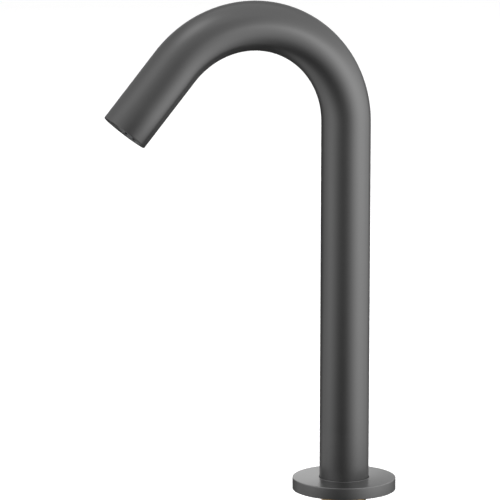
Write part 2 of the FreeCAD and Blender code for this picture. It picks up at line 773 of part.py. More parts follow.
def make_hose():
    """The hose from the coupling on the stem to the barb of the outlet insert."""
    barb, bore = "(hose_bore / 2)", "(stem_bore / 2)"
    section = [
        (COUPLING_BORE, COUPLING_FOOT),
        (f"{COUPLING_BORE} + coupling_wall", COUPLING_FOOT),
        (f"{COUPLING_BORE} + coupling_wall", HOSE_FOOT),
    ]
    section += barbed(barb, HOSE_FOOT, "+")
    section += [(bore, f"{HOSE_FOOT} + barb_length"), (bore, COUPLING_TOP), (COUPLING_BORE, COUPLING_TOP)]
    turned("hose_coupling", section)

    outer = "(hose_diameter / 2)"
    piped("water_hose", [outer, "hose_bore / 2 + barb_height"], "0", HOSE_FOOT, f"(0 - {INSERT_BACK})")
    sleeve = f"{outer} + ferrule_wall"
    turned("lower_ferrule", tube_section(outer, sleeve, HOSE_FOOT, f"{HOSE_FOOT} + ferrule_length"))
    upper = turned("upper_ferrule", tube_section(outer, sleeve, "0 - ferrule_length", "0"))
    to_outlet(upper, "0", INSERT_BACK)


def make_lead():
    """The lead beside the hose, from the slack above the base to the eye, and its clips."""
    piped("sensor_lead", ["lead_diameter / 2"], LEAD_OFFSET, SLACK_TOP, f"(0 - {EYE_BACK})")

    body = new_body("lead_clips")
    clip = new_sketch(body, "clip", "XY_Plane", f"{SLACK_TOP} + 4")
    hose, lead = "(hose_diameter / 2 + seal_gap)", "(lead_diameter / 2 + seal_gap)"
    half = f"({hose} + clip_wall)"
    reach = f"({LEAD_OFFSET} + {lead} + clip_wall)"
    low = f"0 - {half}"
    polygon(clip, [(low, low), (reach, low), (reach, half), (low, half)])
    circle(clip, "0", "0", hose)
    circle(clip, LEAD_OFFSET, "0", lead)
    first = pad(body, clip, "clip_thickness")
    pattern = body.newObject("PartDesign::LinearPattern", "lead_clips_pattern")
    pattern.Originals = [first]
    pattern.Direction = (clip, ["N_Axis"])
    pattern.setExpression("Length", ex("(clips - 1) * clip_spacing"))
    pattern.setExpression("Occurrences", ex("clips"))
    finish(body, pattern)


# ---------------------------------------------------------------- outlet, in its own axes

def make_outlet_insert():
    """The plug in the mouth: aerator seat, eye pocket, water way, hose barb and seal groove."""
    barb, water = "(hose_bore / 2)", "stem_bore / 2"
    section = [("0", INSERT_FACE), ("0", f"{INSERT_BACK} - barb_length")]
    section += list(reversed(barbed(barb, INSERT_BACK, "-")))
    section += [(INSERT_RADIUS, INSERT_BACK)]
    section += grooved(INSERT_RADIUS, [INSERT_SEAL], "insert_groove", "seal_width / 2")
    section += [(INSERT_RADIUS, INSERT_FACE)]
    body = turned("outlet_insert", section)
    seat_depth = "(aerator_length + washer_thickness)"
    drill(body, "seat", AERATOR_AXIS, "0", AERATOR_SEAT, INSERT_FACE, seat_depth, forward=False)
    room = f"{AERATOR} - washer_width - 0.4"
    drill(body, "room", AERATOR_AXIS, "0", room, WASHER_BACK, "mixing_depth", forward=False)
    way = f"{WASHER_BACK} - mixing_depth"
    drill(body, "way", "0", "0", water, way, f"{way} - {INSERT_BACK} + barb_length", forward=False)
    eye = new_sketch(body, "eye", "XY_Plane", INSERT_FACE)
    slot(eye, EYE_AXIS, "eye_spread", f"({EYE_RADIUS} + seal_gap)")
    pocket(body, eye, "eye_length", forward=False)
    lead = "lead_diameter / 2 + lead_gap"
    drill(body, "lead", LEAD_OFFSET, "0", lead, EYE_BACK, "insert_length", forward=False)
    hole = "insert_screw / 2"
    drill(
        body, "screw", "0", "0 - screw_setback", hole, f"0 - {INSERT_RADIUS}",
        "insert_screw_length - tube_wall", "YZ_Plane",
    )
    return to_outlet(body)


def make_insert_fixings():
    """The ring that centres the insert in the tube and the screw that locks it there."""
    root = f"({INSERT_RADIUS} - insert_groove)"
    to_outlet(ring_seal("insert_o_ring", root, TUBE_BORE, INSERT_SEAL, listed=True))
    head = "0 - tube_diameter / 2 + 0.3"
    tip = f"{head} + insert_screw_length - 0.6"
    radius = "insert_screw / 2 - seal_gap"
    points = [(tip, "0"), (head, "0"), (head, radius), (f"{tip} - 0.5", radius), (tip, f"{radius} - 0.5")]
    body = screw("insert_screw", points, "insert_key", head, "1", forward=True)
    to_outlet(body, "0", "0 - screw_setback")


def make_eye():
    """Window, gasket, shell, emitter, receiver and board of the infrared eye."""
    window = new_body("sensor_window")
    plate = new_sketch(window, "plate", "XY_Plane", WINDOW_BACK)
    slot(plate, "0", "eye_spread", EYE_RADIUS)
    pad(window, plate, "window_thickness")

    gasket = new_body("window_gasket")
    rim = new_sketch(gasket, "rim", "XY_Plane", EYE_SHELL_FACE)
    slot(rim, "0", "eye_spread", EYE_RADIUS)
    slot(rim, "0", "eye_spread", EYE_INSIDE)
    pad(gasket, rim, "gasket_height")

    shell = new_body("sensor_shell")
    block = new_sketch(shell, "block", "XY_Plane", EYE_BACK)
    slot(block, "0", "eye_spread", EYE_RADIUS)
    pad(shell, block, f"{EYE_SHELL_FACE} - {EYE_BACK}")
    hollow = new_sketch(shell, "hollow", "XY_Plane", f"{EYE_BACK} + eye_back")
    slot(hollow, "0", "eye_spread", EYE_INSIDE)
    pocket(shell, hollow, "eye_length")
    web = new_sketch(shell, "web", "XY_Plane", BOARD_FACE)
    across, half = f"({EYE_INSIDE} + eye_wall / 2)", "web_thickness / 2"
    polygon(
        web,
        [
            (f"0 - {across}", f"0 - {half}"), (across, f"0 - {half}"),
            (across, half), (f"0 - {across}", half),
        ],
    )
    pad(shell, web, f"{EYE_SHELL_FACE} - {BOARD_FACE}")

    board = new_body("sensor_board")
    card = new_sketch(board, "card", "XY_Plane", f"{BOARD_FACE} - board_thickness")
    slot(card, "0", "eye_spread", f"({EYE_INSIDE} - seal_gap)")
    pad(board, card, "board_thickness")

    pieces = [window, gasket, shell, board]
    for label, side in (("infrared_emitter", ""), ("infrared_receiver", "0 - ")):
        diode = new_body(label)
        base = new_sketch(diode, "base", "XY_Plane", BOARD_FACE)
        circle(base, "0", f"{side}eye_spread", "diode_diameter / 2")
        pad(diode, base, "diode_length")
        pieces.append(diode)
    for piece in pieces:
        to_outlet(piece, EYE_AXIS)


def make_aerator():
    """The aerator cartridge and its washer, about the aerator's own axis."""
    inside = f"({AERATOR_INSIDE} + seal_gap)"
    shell = turned("aerator_shell", tube_section(inside, AERATOR, AERATOR_BACK, INSERT_FACE))
    key = new_sketch(shell, "key", "XY_Plane", INSERT_FACE)
    half, edge = "key_width / 2", f"{AERATOR} + 0.5"
    start = f"{inside} - 0.5"
    polygon(key, [(start, f"0 - {half}"), (edge, f"0 - {half}"), (edge, half), (start, half)])
    first = pocket(shell, key, "key_depth", forward=False)
    pattern = shell.newObject("PartDesign::PolarPattern", "aerator_key_slots")
    pattern.Originals = [first]
    pattern.Axis = (key, ["N_Axis"])
    pattern.setExpression("Occurrences", ex("key_slots"))
    finish(shell, pattern)

    grid = new_body("aerator_grid")
    disc = new_sketch(grid, "disc", "XY_Plane", GRID_BACK)
    circle(disc, "0", "0", AERATOR_INSIDE)
    circle(disc, "0", "0", "grid_hole / 2")
    pad(grid, disc, "grid_thickness")
    sixth = new_sketch(grid, "sixth", "XY_Plane", GRID_BACK)
    for row in range(1, 4):
        for step in range(row):
            x = f"grid_pitch * ({row} - {step} / 2)"
            y = f"grid_pitch * {step} * cos(30)" if step else "0"
            circle(sixth, x, y, "grid_hole / 2")
    holes = pocket(grid, sixth, "grid_thickness")
    around = grid.newObject("PartDesign::PolarPattern", "aerator_grid_holes")
    around.Originals = [holes]
    around.Axis = (sixth, ["N_Axis"])
    around.Occurrences = 6
    finish(grid, around)

    screens = []
    for k, back in enumerate(SCREEN_BACKS):
        screen = doc.addObject("Part::Cylinder", f"screen_{k}")
        screen.setExpression("Radius", ex(AERATOR_INSIDE))
        screen.setExpression("Height", ex("screen_thickness"))
        screens.append(to_outlet(screen, AERATOR_AXIS, back))
    group("aerator_screens", screens)

    regulator = new_body("flow_regulator")
    plate = new_sketch(regulator, "plate", "XY_Plane", REGULATOR_BACK)
    circle(plate, "0", "0", AERATOR_INSIDE)
    for k in range(6):
        x = f"regulator_circle * cos({60 * k})"
        y = f"regulator_circle * sin({60 * k})" if k % 3 else "0"
        circle(plate, x, y, "regulator_hole / 2")
    pad(regulator, plate, "regulator_thickness")

    rim, crown = f"({AERATOR_INSIDE} - washer_width)", f"({REGULATOR_BACK} - strainer_height)"
    strainer = turned(
        "inlet_strainer",
        [
            (rim, REGULATOR_BACK),
            (f"{rim} - strainer_wall", REGULATOR_BACK),
            (f"{rim} / 2", f"{crown} + strainer_wall"),
            ("0", f"{crown} + strainer_wall"),
            ("0", crown),
            (f"{rim} / 2", crown),
        ],
    )
    washer = turned(
        "aerator_washer",
        tube_section(f"{AERATOR} - washer_width", AERATOR, WASHER_BACK, AERATOR_BACK),
    )
    for piece in (shell, grid, regulator, strainer, washer):
        to_outlet(piece, AERATOR_AXIS)


def save_all():
    """Checks every object and sub-part, then writes one STEP file for each sub-part."""
    doc.recompute()
    for item in doc.Objects:
        if "Invalid" in item.State or "Error" in item.State:
            raise RuntimeError(f"{item.Label} failed: {item.State}")
    for item in nodes:
        shape = item.Shape
        if shape.isNull() or not shape.isValid() or not shape.Solids:
            raise RuntimeError(f"{item.Label} has no valid solid")
    os.makedirs("parts", exist_ok=True)
    for item in nodes:
        item.Shape.exportStep(f"parts/{item.Label}.step")
        print(item.Label, len(item.Shape.Solids), round(item.Shape.Volume, 1))


make_base_body()
make_cover_flange()
make_base_seals()
make_clamp()
make_inlet()
make_lead_foot()
make_spout_tube()
make_foot_bush()
make_stop_screw()
make_hose()
make_lead()
make_outlet_insert()
make_insert_fixings()
make_eye()
make_aerator()
save_all()
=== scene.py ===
import math

import bmesh
import bpy
from bpy.props import FloatProperty, FloatVectorProperty, IntProperty, PointerProperty
from mathutils import Matrix, Vector


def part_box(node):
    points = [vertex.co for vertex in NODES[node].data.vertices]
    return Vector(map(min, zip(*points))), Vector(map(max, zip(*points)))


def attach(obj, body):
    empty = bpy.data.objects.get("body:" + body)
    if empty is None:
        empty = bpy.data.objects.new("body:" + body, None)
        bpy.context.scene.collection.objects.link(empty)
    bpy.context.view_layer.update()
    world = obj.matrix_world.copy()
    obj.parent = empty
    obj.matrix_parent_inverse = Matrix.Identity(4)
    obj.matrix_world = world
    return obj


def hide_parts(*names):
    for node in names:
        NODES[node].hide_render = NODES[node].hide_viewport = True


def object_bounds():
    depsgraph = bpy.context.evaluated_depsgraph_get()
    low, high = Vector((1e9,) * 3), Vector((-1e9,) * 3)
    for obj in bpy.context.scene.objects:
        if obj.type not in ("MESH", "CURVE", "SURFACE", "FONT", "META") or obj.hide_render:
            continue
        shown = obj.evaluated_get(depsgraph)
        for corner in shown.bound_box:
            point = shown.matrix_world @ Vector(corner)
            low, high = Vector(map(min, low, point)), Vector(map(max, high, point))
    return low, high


bl_info = {
    "name": "Sensor tap",
    "version": (1, 0, 0),
    "blender": (4, 5, 0),
    "location": "3D View > Sidebar > Tap",
    "description": "Builds the visible pieces of a sensor tap round its packed frame",
    "category": "Object",
}

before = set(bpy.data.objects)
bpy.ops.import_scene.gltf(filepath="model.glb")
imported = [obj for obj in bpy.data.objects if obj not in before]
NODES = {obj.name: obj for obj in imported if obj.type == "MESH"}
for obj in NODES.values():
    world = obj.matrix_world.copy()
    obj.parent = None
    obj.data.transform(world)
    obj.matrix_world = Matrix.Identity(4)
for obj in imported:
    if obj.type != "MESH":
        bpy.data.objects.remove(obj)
CAD_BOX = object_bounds()

MM = 0.001


def box_of(node):
    """Lowest and highest corner of a node, in millimetres."""
    low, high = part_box(node)
    return low / MM, high / MM


TUBE_LOW, TUBE_HIGH = box_of("spout_tube")
FLANGE_HIGH = box_of("cover_flange")[1]
BASE_LOW, BASE_HIGH = box_of("base_body")
NUT_LOW, NUT_HIGH = box_of("back_nut")
PLUG_LOW, PLUG_HIGH = box_of("shank_plug")
PIPE_LOW, PIPE_HIGH = box_of("inlet_pipe")
SOCKET_LOW, SOCKET_HIGH = box_of("lead_socket")

# The sidebar's defaults for the tube, and how far the flange stands above its solid, in millimetres.
COLUMN_HEIGHT = 216.5
BEND_RADIUS = TUBE_HIGH.z - TUBE_HIGH.y - COLUMN_HEIGHT
TUBE_WALL = 1.5
FLANGE_RAISE = 1.0

# Sizes in millimetres that seals, screws and fittings share, and that the sidebar doesn't change.
SEAL_GAP = 0.02
STOP_LEVEL, STOP_HOLE = 15.0, 2.5
SCREW_SETBACK, INSERT_HOLE = 13.4, 1.5
SHANK_RADIUS, SHANK_BORE = 13.2, 9.68
SPIGOT_RADIUS, SPIGOT_BORE, SPIGOT_FOOT = 11.4, 8.6, -8.0
COLLAR_RADIUS, COLLAR_FOOT, COLLAR_TOP = 22.8, 1.5, 3.5
SEAL_LEVELS = (25.5, 33.5)
GROOVE_DEPTH, SEAL_HALF, STOP_HALF = 1.3, 0.95, 1.9
FLANGE_HOLLOW, FLANGE_PLATE, FLANGE_GAP = 25.0, 2.2, 0.25
NUT_BORE, CLAMP_BORE = 13.22, 13.5
TAIL_RADIUS, PIPE_RADIUS, PIPE_BORE = 4.0, 3.5, 2.2
STEM_RADIUS, STEM_BORE = 2.5, 1.5
PLUG_LIP, PLUG_SLOT_FOOT, PLUG_SLOT_END = 3.0, 10.2, 14.5
SOCKET_RADIUS, SOCKET_HOLE, SOCKET_DEPTH = 2.0, 1.5, 4.0
PIN_RADIUS, PIN_CIRCLE = 0.25, 0.7
INSERT_LENGTH, INSERT_GROOVE, BARB_LENGTH, BARB_TEETH = 19.0, 1.1, 14.0, 3
BARB_ROOT, BARB_CREST = 2.5, 2.8
SEAT_GAP, SEAT_DEPTH, ROOM_RADIUS, ROOM_DEPTH = 0.05, 10.0, 6.25, 12.0
EYE_DEPTH, LEAD_WAY, LEAD_SHIFT, WATER_WAY = 12.0, 1.4, 7.0, 1.5
KEY_DEPTH, KEY_HALF, KEY_EDGE = 1.3, 0.95, 0.14
SHELL_WALL, SHELL_LENGTH = 1.4, 9.0
GRID_RECESS, GRID_THICKNESS, GRID_PITCH, GRID_HOLE = 0.8, 2.0, 1.9, 0.675


# ---------------------------------------------------------------- sizes and finishes

def length(name, description, default):
    """A length in metres that the sidebar shows in the scene's unit."""
    return FloatProperty(
        name=name,
        description=description,
        default=default * MM,
        min=0.0,
        unit="LENGTH",
        precision=5,
    )


def angle_of(name, description, degrees):
    """An angle that the sidebar shows in degrees."""
    return FloatProperty(
        name=name, description=description, default=math.radians(degrees), subtype="ANGLE"
    )


def colour(name, description, default):
    """A linear colour for the sidebar."""
    return FloatVectorProperty(
        name=name,
        description=description,
        default=default,
        subtype="COLOR",
        size=3,
        min=0.0,
        max=1.0,
    )


class SpoutSizes(bpy.types.PropertyGroup):
    """Sizes of the bent tube."""

    tube_diameter: length("Tube diameter", "Outside of the tube", TUBE_HIGH.y * 2)
    tube_wall: length("Tube wall", "Thickness of the tube's wall", TUBE_WALL)
    column_height: length("Column height", "Deck to the start of the bend", COLUMN_HEIGHT)
    bend_radius: length("Bend radius", "Radius of the centre line in the bend", BEND_RADIUS)
    bend_angle: angle_of("Bend angle", "How far the tube turns over", 139.8)
    outlet_straight: length("Outlet length", "Straight run from the bend to the mouth", 47.7)
    foot: length("Foot", "Height of the tube's lower end above the deck", TUBE_LOW.z)
    rim_rounding: length("Rim rounding", "Rounding of the tube's two ends", 0.6)
    facets: IntProperty(
        name="Facets", description="Sides of the tube's round section", default=144, min=24
    )


class BaseSizes(bpy.types.PropertyGroup):
    """Sizes of the flange, the shank and what clamps it."""

    flange_diameter: length("Flange diameter", "Outside of the cover flange", FLANGE_HIGH.x * 2)
    flange_height: length(
        "Flange height", "Top of the cover flange above the deck", FLANGE_HIGH.z + FLANGE_RAISE
    )
    flange_edge: length("Flange edge", "Rounding of the flange's top edge", 0.45)
    flange_lip: length("Flange lip", "Height of the thin lip round the flange's bore", 0.25)
    thread_pitch: length("Thread pitch", "Pitch of the shank's pipe thread", 1.814)
    thread_depth: length("Thread depth", "Depth of the shank's pipe thread", 1.0)
    nut_flats: length("Nut flats", "Width of the back nut across its flats", 36.0)


class OutletSizes(bpy.types.PropertyGroup):
    """Sizes of what fills the mouth."""

    recess: length("Recess", "Face of the insert inside the tube's end", 0.6)
    insert_diameter: length("Insert diameter", "Outside of the insert", 25.5)
    aerator_shift: length("Aerator shift", "Aerator's axis behind the tube's axis", 3.9)
    aerator_diameter: length("Aerator diameter", "Outside of the aerator", 16.5)
    key_slots: IntProperty(
        name="Key slots", description="Slots in the aerator's rim", default=8, min=2
    )
    eye_shift: length("Eye shift", "Eye ahead of the tube's axis", 8.6)
    eye_radius: length("Eye radius", "Half the width of the eye's window", 3.4)
    eye_spread: length("Eye spread", "Middle of the window to the centre of each round end", 1.8)


class Finishes(bpy.types.PropertyGroup):
    """Colours and roughness of the finishes that show."""

    metal: colour("Gunmetal", "Colour of tube and flange", (0.125, 0.125, 0.125))
    metal_roughness: FloatProperty(
        name="Gunmetal roughness", description="Satin of tube and flange", default=0.3, min=0, max=1
    )
    brush_depth: length("Brush depth", "Depth of the brushed lines", 0.004)
    brass: colour("Brass", "Colour of shank, nut and pipe", (0.62, 0.43, 0.19))
    plastic: colour("Black plastic", "Colour of insert and plug", (0.028, 0.028, 0.030))
    aerator: colour("Grey plastic", "Colour of the aerator", (0.11, 0.113, 0.116))
    window: colour("Window", "Colour of the eye's window", (0.006, 0.003, 0.004))
    rubber: colour("Rubber", "Colour of seals and gaskets", (0.028, 0.028, 0.028))


class StudioSizes(bpy.types.PropertyGroup):
    """Camera and light."""

    azimuth: angle_of("Azimuth", "Camera round the column", -20.620)
    elevation: angle_of("Elevation", "Camera above the horizon", 11.488)
    roll: angle_of("Roll", "Camera about its own axis", 0.1688)
    distance: length("Distance", "Camera to the point it aims at", 3824.0)
    lens: FloatProperty(name="Lens", description="Focal length on a 36 mm sensor", default=479.76)
    floor: colour("Floor", "Colour of the floor", (0.86, 0.86, 0.86))


# ---------------------------------------------------------------- mesh helpers

def section(*corners):
    """The points of a plain half section, given as radius and height."""
    return [Vector(corner) for corner in corners]


def bore(radius, low, high):
    """The half section of a plain round hole."""
    return section((0, low), (radius, low), (radius, high), (0, high))


def full_turn(sides):
    """The angles of evenly spaced points on a circle."""
    return [2 * math.pi * side / sides for side in range(sides)]


def polar(reach, angle, level):
    """A point from its distance to the axis, its angle and its height."""
    return Vector((reach * math.cos(angle), reach * math.sin(angle), level))


def rounded(corners, closed=True, steps=4):
    """The points of an outline whose corners, given as x, y and a radius, are rounded."""
    points = []
    count = len(corners)
    for index, (x, y, radius) in enumerate(corners):
        here = Vector((x, y))
        at_end = not closed and index in (0, count - 1)
        if radius <= 0 or at_end:
            points.append(here)
            continue
        back = (Vector(corners[index - 1][:2]) - here).normalized()
        ahead = (Vector(corners[(index + 1) % count][:2]) - here).normalized()
        half = back.angle(ahead) / 2
        centre = here + (back + ahead).normalized() * radius / math.sin(half)
        start = here + back * radius / math.tan(half) - centre
        end = here + ahead * radius / math.tan(half) - centre
        turn = math.atan2(start.x * end.y - start.y * end.x, start.dot(end))
        for step in range(steps + 1):
            angle = turn * step / steps
            cos, sin = math.cos(angle), math.sin(angle)
            arm = Vector((start.x * cos - start.y * sin, start.x * sin + start.y * cos))
            points.append(centre + arm)
    return points


def skin(mesh, rings, along, around, closed=False):
    """Joins rings of as many points each by quads, with UVs in millimetres along and around."""
    uv = mesh.loops.layers.uv.verify()
    rows = [[mesh.verts.new(point * MM) for point in ring] for ring in rings]
    sides = len(rows[0])
    for index in range(len(rows) if closed else len(rows) - 1):
        here, after = rows[index], rows[(index + 1) % len(rows)]
        for side in range(sides):
            beside = (side + 1) % sides
            face = mesh.faces.new((here[side], here[beside], after[beside], after[side]))
            spots = ((index, side), (index, side + 1), (index + 1, side + 1), (index + 1, side))
            for loop, (row, column) in zip(face.loops, spots):
                loop[uv].uv = (around[column], along[row])
    return rows


def distances(points):
    """How far each point of a closed outline lies along it, with the way back to the first."""
    reached = [0.0]
    for here, there in zip(points, points[1:] + points[:1]):
        reached.append(reached[-1] + (there - here).length)
    return reached


def lathe(mesh, outline, axis=None, sides=96, closed=True):
    """Turns a half section of radius and height points about Z, then places it by axis."""
    axis = axis or Matrix()
    widest = max(point.x for point in outline)
    turns = full_turn(sides)
    rings = [[axis @ polar(reach, turn, level) for turn in turns] for reach, level in outline]
    around = [widest * turn for turn in (*turns, 2 * math.pi)]
    skin(mesh, rings, distances(outline), around, closed)


def turned(outline, axis=None, sides=96):
    """A new mesh, turned from a half section."""
    mesh = bmesh.new()
    lathe(mesh, outline, axis, sides)
    return mesh


def stack(mesh, outlines):
    """Joins like outlines, one above the other, and closes both ends."""
    sides = len(outlines[0])
    around = [0.3 * side for side in range(sides + 1)]
    rows = skin(mesh, outlines, [0.3 * k for k in range(len(outlines))], around)
    mesh.faces.new(rows[0])
    mesh.faces.new(list(reversed(rows[-1])))


def carved(mesh, cutter):
    """Cuts one mesh from another and gives the result."""
    pair = []
    for part in (mesh, cutter):
        bmesh.ops.remove_doubles(part, verts=part.verts, dist=1e-6)
        bmesh.ops.recalc_face_normals(part, faces=part.faces)
        data = bpy.data.meshes.new("carving")
        part.to_mesh(data)
        part.free()
        pair.append(bpy.data.objects.new("carving", data))
        bpy.context.scene.collection.objects.link(pair[-1])
    cut = pair[0].modifiers.new("cut", "BOOLEAN")
    cut.object = pair[1]
    cut.operation = "DIFFERENCE"
    cut.solver = "EXACT"
    graph = bpy.context.evaluated_depsgraph_get()
    result = bmesh.new()
    result.from_mesh(pair[0].evaluated_get(graph).to_mesh())
    for item in pair:
        data = item.data
        bpy.data.objects.remove(item)
        bpy.data.meshes.remove(data)
    return result


def piece(node, mesh, finish, body, crease=30):
    """Makes the object that stands for a node, rides on its body and has its finish."""
    bmesh.ops.remove_doubles(mesh, verts=mesh.verts, dist=1e-6)
    bmesh.ops.dissolve_degenerate(mesh, edges=mesh.edges, dist=1e-7)
    bmesh.ops.recalc_face_normals(mesh, faces=mesh.faces)
    for face in mesh.faces:
        face.smooth = True
    for edge in mesh.edges:
        edge.smooth = edge.calc_face_angle(0.0) < math.radians(crease)
    data = bpy.data.meshes.new(node + "_skin")
    mesh.to_mesh(data)
    mesh.free()
    data.materials.append(finish_named(finish))
    item = bpy.data.objects.new(node + "_skin", data)
    bpy.context.scene.collection.objects.link(item)
    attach(item, body)
    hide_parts(node)


def slot_outline(spread, radius, level, shift, sides=20):
    """The outline of a slot along y, with a half circle at each end."""
    points = []
    for end, start in ((1, 0.0), (-1, math.pi)):
        for side in range(sides + 1):
            angle = start + math.pi * side / sides
            along = end * spread + radius * math.sin(angle)
            points.append(Vector((shift + radius * math.cos(angle), along, level)))
    return points


def hexagon_outline(flats, level):
    """A hexagon round Z."""
    corner = flats / 2 / math.cos(math.pi / 6)
    return [polar(corner, angle, level) for angle in full_turn(6)]


def outlet_axes(sizes):
    """The place and turn of the mouth: z runs out of it and x points to the spout's front."""
    angle = sizes.bend_angle
    radius, run = sizes.bend_radius / MM, sizes.outlet_straight / MM
    across = -radius + radius * math.cos(angle) - run * math.sin(angle)
    up = sizes.column_height / MM + radius * math.sin(angle) + run * math.cos(angle)
    return Matrix.Translation((across, 0.0, up)) @ Matrix.Rotation(-angle, 4, "Y")


def screw_axes(sizes):
    """The places of the stop screw and the insert screw: z runs out through the tube's wall."""
    stop = Matrix.Translation((0, 0, STOP_LEVEL)) @ Matrix.Rotation(math.pi / 2, 4, "Y")
    setback = Matrix.Translation((0, 0, -SCREW_SETBACK))
    return stop, outlet_axes(sizes) @ setback @ Matrix.Rotation(-math.pi / 2, 4, "Y")


# ---------------------------------------------------------------- materials

def node_adder(tree):
    """A helper that adds a node to a tree, with what feeds it and its values."""

    def add(kind, links=(), **values):
        item = tree.nodes.new(kind)
        for key, value in values.items():
            if key.startswith("in_"):
                item.inputs[key[3:].replace("_", " ")].default_value = value
            else:
                setattr(item, key, value)
        for socket, source in dict(links).items():
            tree.links.new(source, item.inputs[socket])
        return item

    return add


def new_material(name, **values):
    """A node material with its shader set to plain values, and a helper that adds nodes to it."""
    material = bpy.data.materials.new(name)
    material.use_nodes = True
    shader = material.node_tree.nodes["Principled BSDF"]
    for key, value in values.items():
        shader.inputs[key.replace("_", " ")].default_value = value
    return material, shader, node_adder(material.node_tree)


def feed(shader, **sources):
    """Links textures to a shader's sockets."""
    for key, source in sources.items():
        shader.id_data.links.new(source, shader.inputs[key.replace("_", " ")])


def cloudy(add, place, scale, detail, **more):
    """A noise texture's value."""
    return add(
        "ShaderNodeTexNoise", {"Vector": place}, in_Scale=scale, in_Detail=detail, **more
    ).outputs["Fac"]


def varied(add, factor, tint, amount):
    """A colour that a texture moves a little darker and lighter."""
    dark = [channel * (1 - amount) for channel in tint]
    light = [min(1.0, channel * (1 + amount)) for channel in tint]
    ramp = add("ShaderNodeValToRGB", {"Fac": factor})
    ramp.color_ramp.elements[0].color = (*dark, 1)
    ramp.color_ramp.elements[1].color = (*light, 1)
    return ramp.outputs["Color"]


def set_range(add, value, low, high, **span):
    """Spreads a texture over a range."""
    item = add("ShaderNodeMapRange", {"Value": value}, in_To_Min=low, in_To_Max=high, **span)
    return item.outputs["Result"]


def raised(add, height, strength, distance):
    """A surface that a texture raises."""
    item = add("ShaderNodeBump", {"Height": height}, in_Strength=strength, in_Distance=distance)
    return item.outputs["Normal"]


def brushed_metal(name, tint, roughness, lines, depth):
    """Metal with fine lines round the piece, from its UVs in millimetres."""
    material, shader, add = new_material("tap_" + name, Metallic=1.0)
    place = add("ShaderNodeTexCoord")
    grain = add("ShaderNodeMapping", {"Vector": place.outputs["UV"]}, in_Scale=(*lines, 1.0))
    fine = cloudy(add, grain.outputs["Vector"], 1.0, 3.0, in_Roughness=0.6)
    cloud = cloudy(add, place.outputs["Object"], 40.0, 2.0)
    feed(shader, Base_Color=varied(add, fine, tint, 0.05))
    mixed = add("ShaderNodeMath", {0: fine, 1: cloud}, operation="ADD").outputs["Value"]
    low, high = roughness - 0.03, roughness + 0.03
    spread = set_range(add, mixed, low, high, in_From_Min=0.6, in_From_Max=1.4)
    feed(shader, Roughness=spread, Normal=raised(add, fine, 1.0, depth))
    return material


def moulded(name, tint, roughness, grain=900.0, depth=0.00001, amount=0.12, **values):
    """Plastic, rubber or plain metal with a fine grain, from the piece's own place."""
    material, shader, add = new_material("tap_" + name, **values)
    place = add("ShaderNodeTexCoord").outputs["Object"]
    fine = cloudy(add, place, grain, 3.0)
    cloud = cloudy(add, place, grain / 12, 2.0)
    feed(
        shader,
        Base_Color=varied(add, cloud, tint, amount),
        Roughness=set_range(add, fine, roughness - 0.06, roughness + 0.06),
        Normal=raised(add, fine, 0.6, depth),
    )
    return material


def woven(name):
    """Fine wire mesh, as crossed waves on a metal disc."""
    material, shader, add = new_material("tap_" + name, Metallic=1.0)
    place = add("ShaderNodeTexCoord").outputs["Object"]
    wires = [
        add("ShaderNodeTexWave", {"Vector": place}, in_Scale=500.0, bands_direction=direction)
        for direction in ("X", "Y")
    ]
    links = {k: wire.outputs["Fac"] for k, wire in enumerate(wires)}
    cross = add("ShaderNodeMath", links, operation="MAXIMUM").outputs["Value"]
    feed(
        shader,
        Base_Color=varied(add, cross, (0.4, 0.4, 0.39), 0.5),
        Roughness=set_range(add, cross, 0.5, 0.3),
        Normal=raised(add, cross, 1.0, 0.0001),
    )
    return material


STEEL = (0.50, 0.50, 0.49)


def finish_named(name):
    """One finish of the tap, made when it is first asked for."""
    made = bpy.data.materials.get("tap_" + name)
    return made or make_finish(name)


def make_finish(name):
    """Makes a finish from its name."""
    shown = bpy.context.scene.tap_finishes
    metal, brass = tuple(shown.metal), tuple(shown.brass)
    if name == "mesh":
        return woven(name)
    brushed = {
        "gunmetal": (metal, shown.metal_roughness, (0.06, 14.0), shown.brush_depth),
        "brass": (brass, 0.3, (0.1, 9.0), 0.000006),
        "steel": (STEEL, 0.34, (0.1, 10.0), 0.000004),
    }
    if name in brushed:
        return brushed_metal(name, *brushed[name])
    glossy = {"Coat_Weight": 0.5, "Coat_Roughness": 0.04}
    tint, roughness, more = {
        "plain_steel": (STEEL, 0.34, {"Metallic": 1.0, "amount": 0.06}),
        "plain_brass": (brass, 0.32, {"Metallic": 1.0, "amount": 0.06}),
        "gold": ((0.80, 0.56, 0.20), 0.25, {"Metallic": 1.0, "amount": 0.05}),
        "black_plastic": (shown.plastic, 0.42, {}),
        "grey_plastic": (shown.aerator, 0.36, {}),
        "white_plastic": ((0.72, 0.72, 0.69), 0.4, {}),
        "rubber": (shown.rubber, 0.62, {"grain": 1500.0, "depth": 0.00002}),
        "hose": ((0.16, 0.17, 0.18), 0.5, {"grain": 700.0}),
        "lead": ((0.03, 0.03, 0.03), 0.45, {"grain": 800.0}),
        "window": (shown.window, 0.1, {"grain": 300.0, "depth": 0.000001, **glossy}),
        "clear_resin": ((0.30, 0.34, 0.42), 0.1, {"Transmission_Weight": 0.7}),
        "dark_resin": ((0.02, 0.02, 0.022), 0.12, {}),
        "board": ((0.02, 0.13, 0.05), 0.35, {"grain": 1200.0}),
    }[name]
    return moulded(name, tuple(tint), roughness, **more)


# ---------------------------------------------------------------- pieces

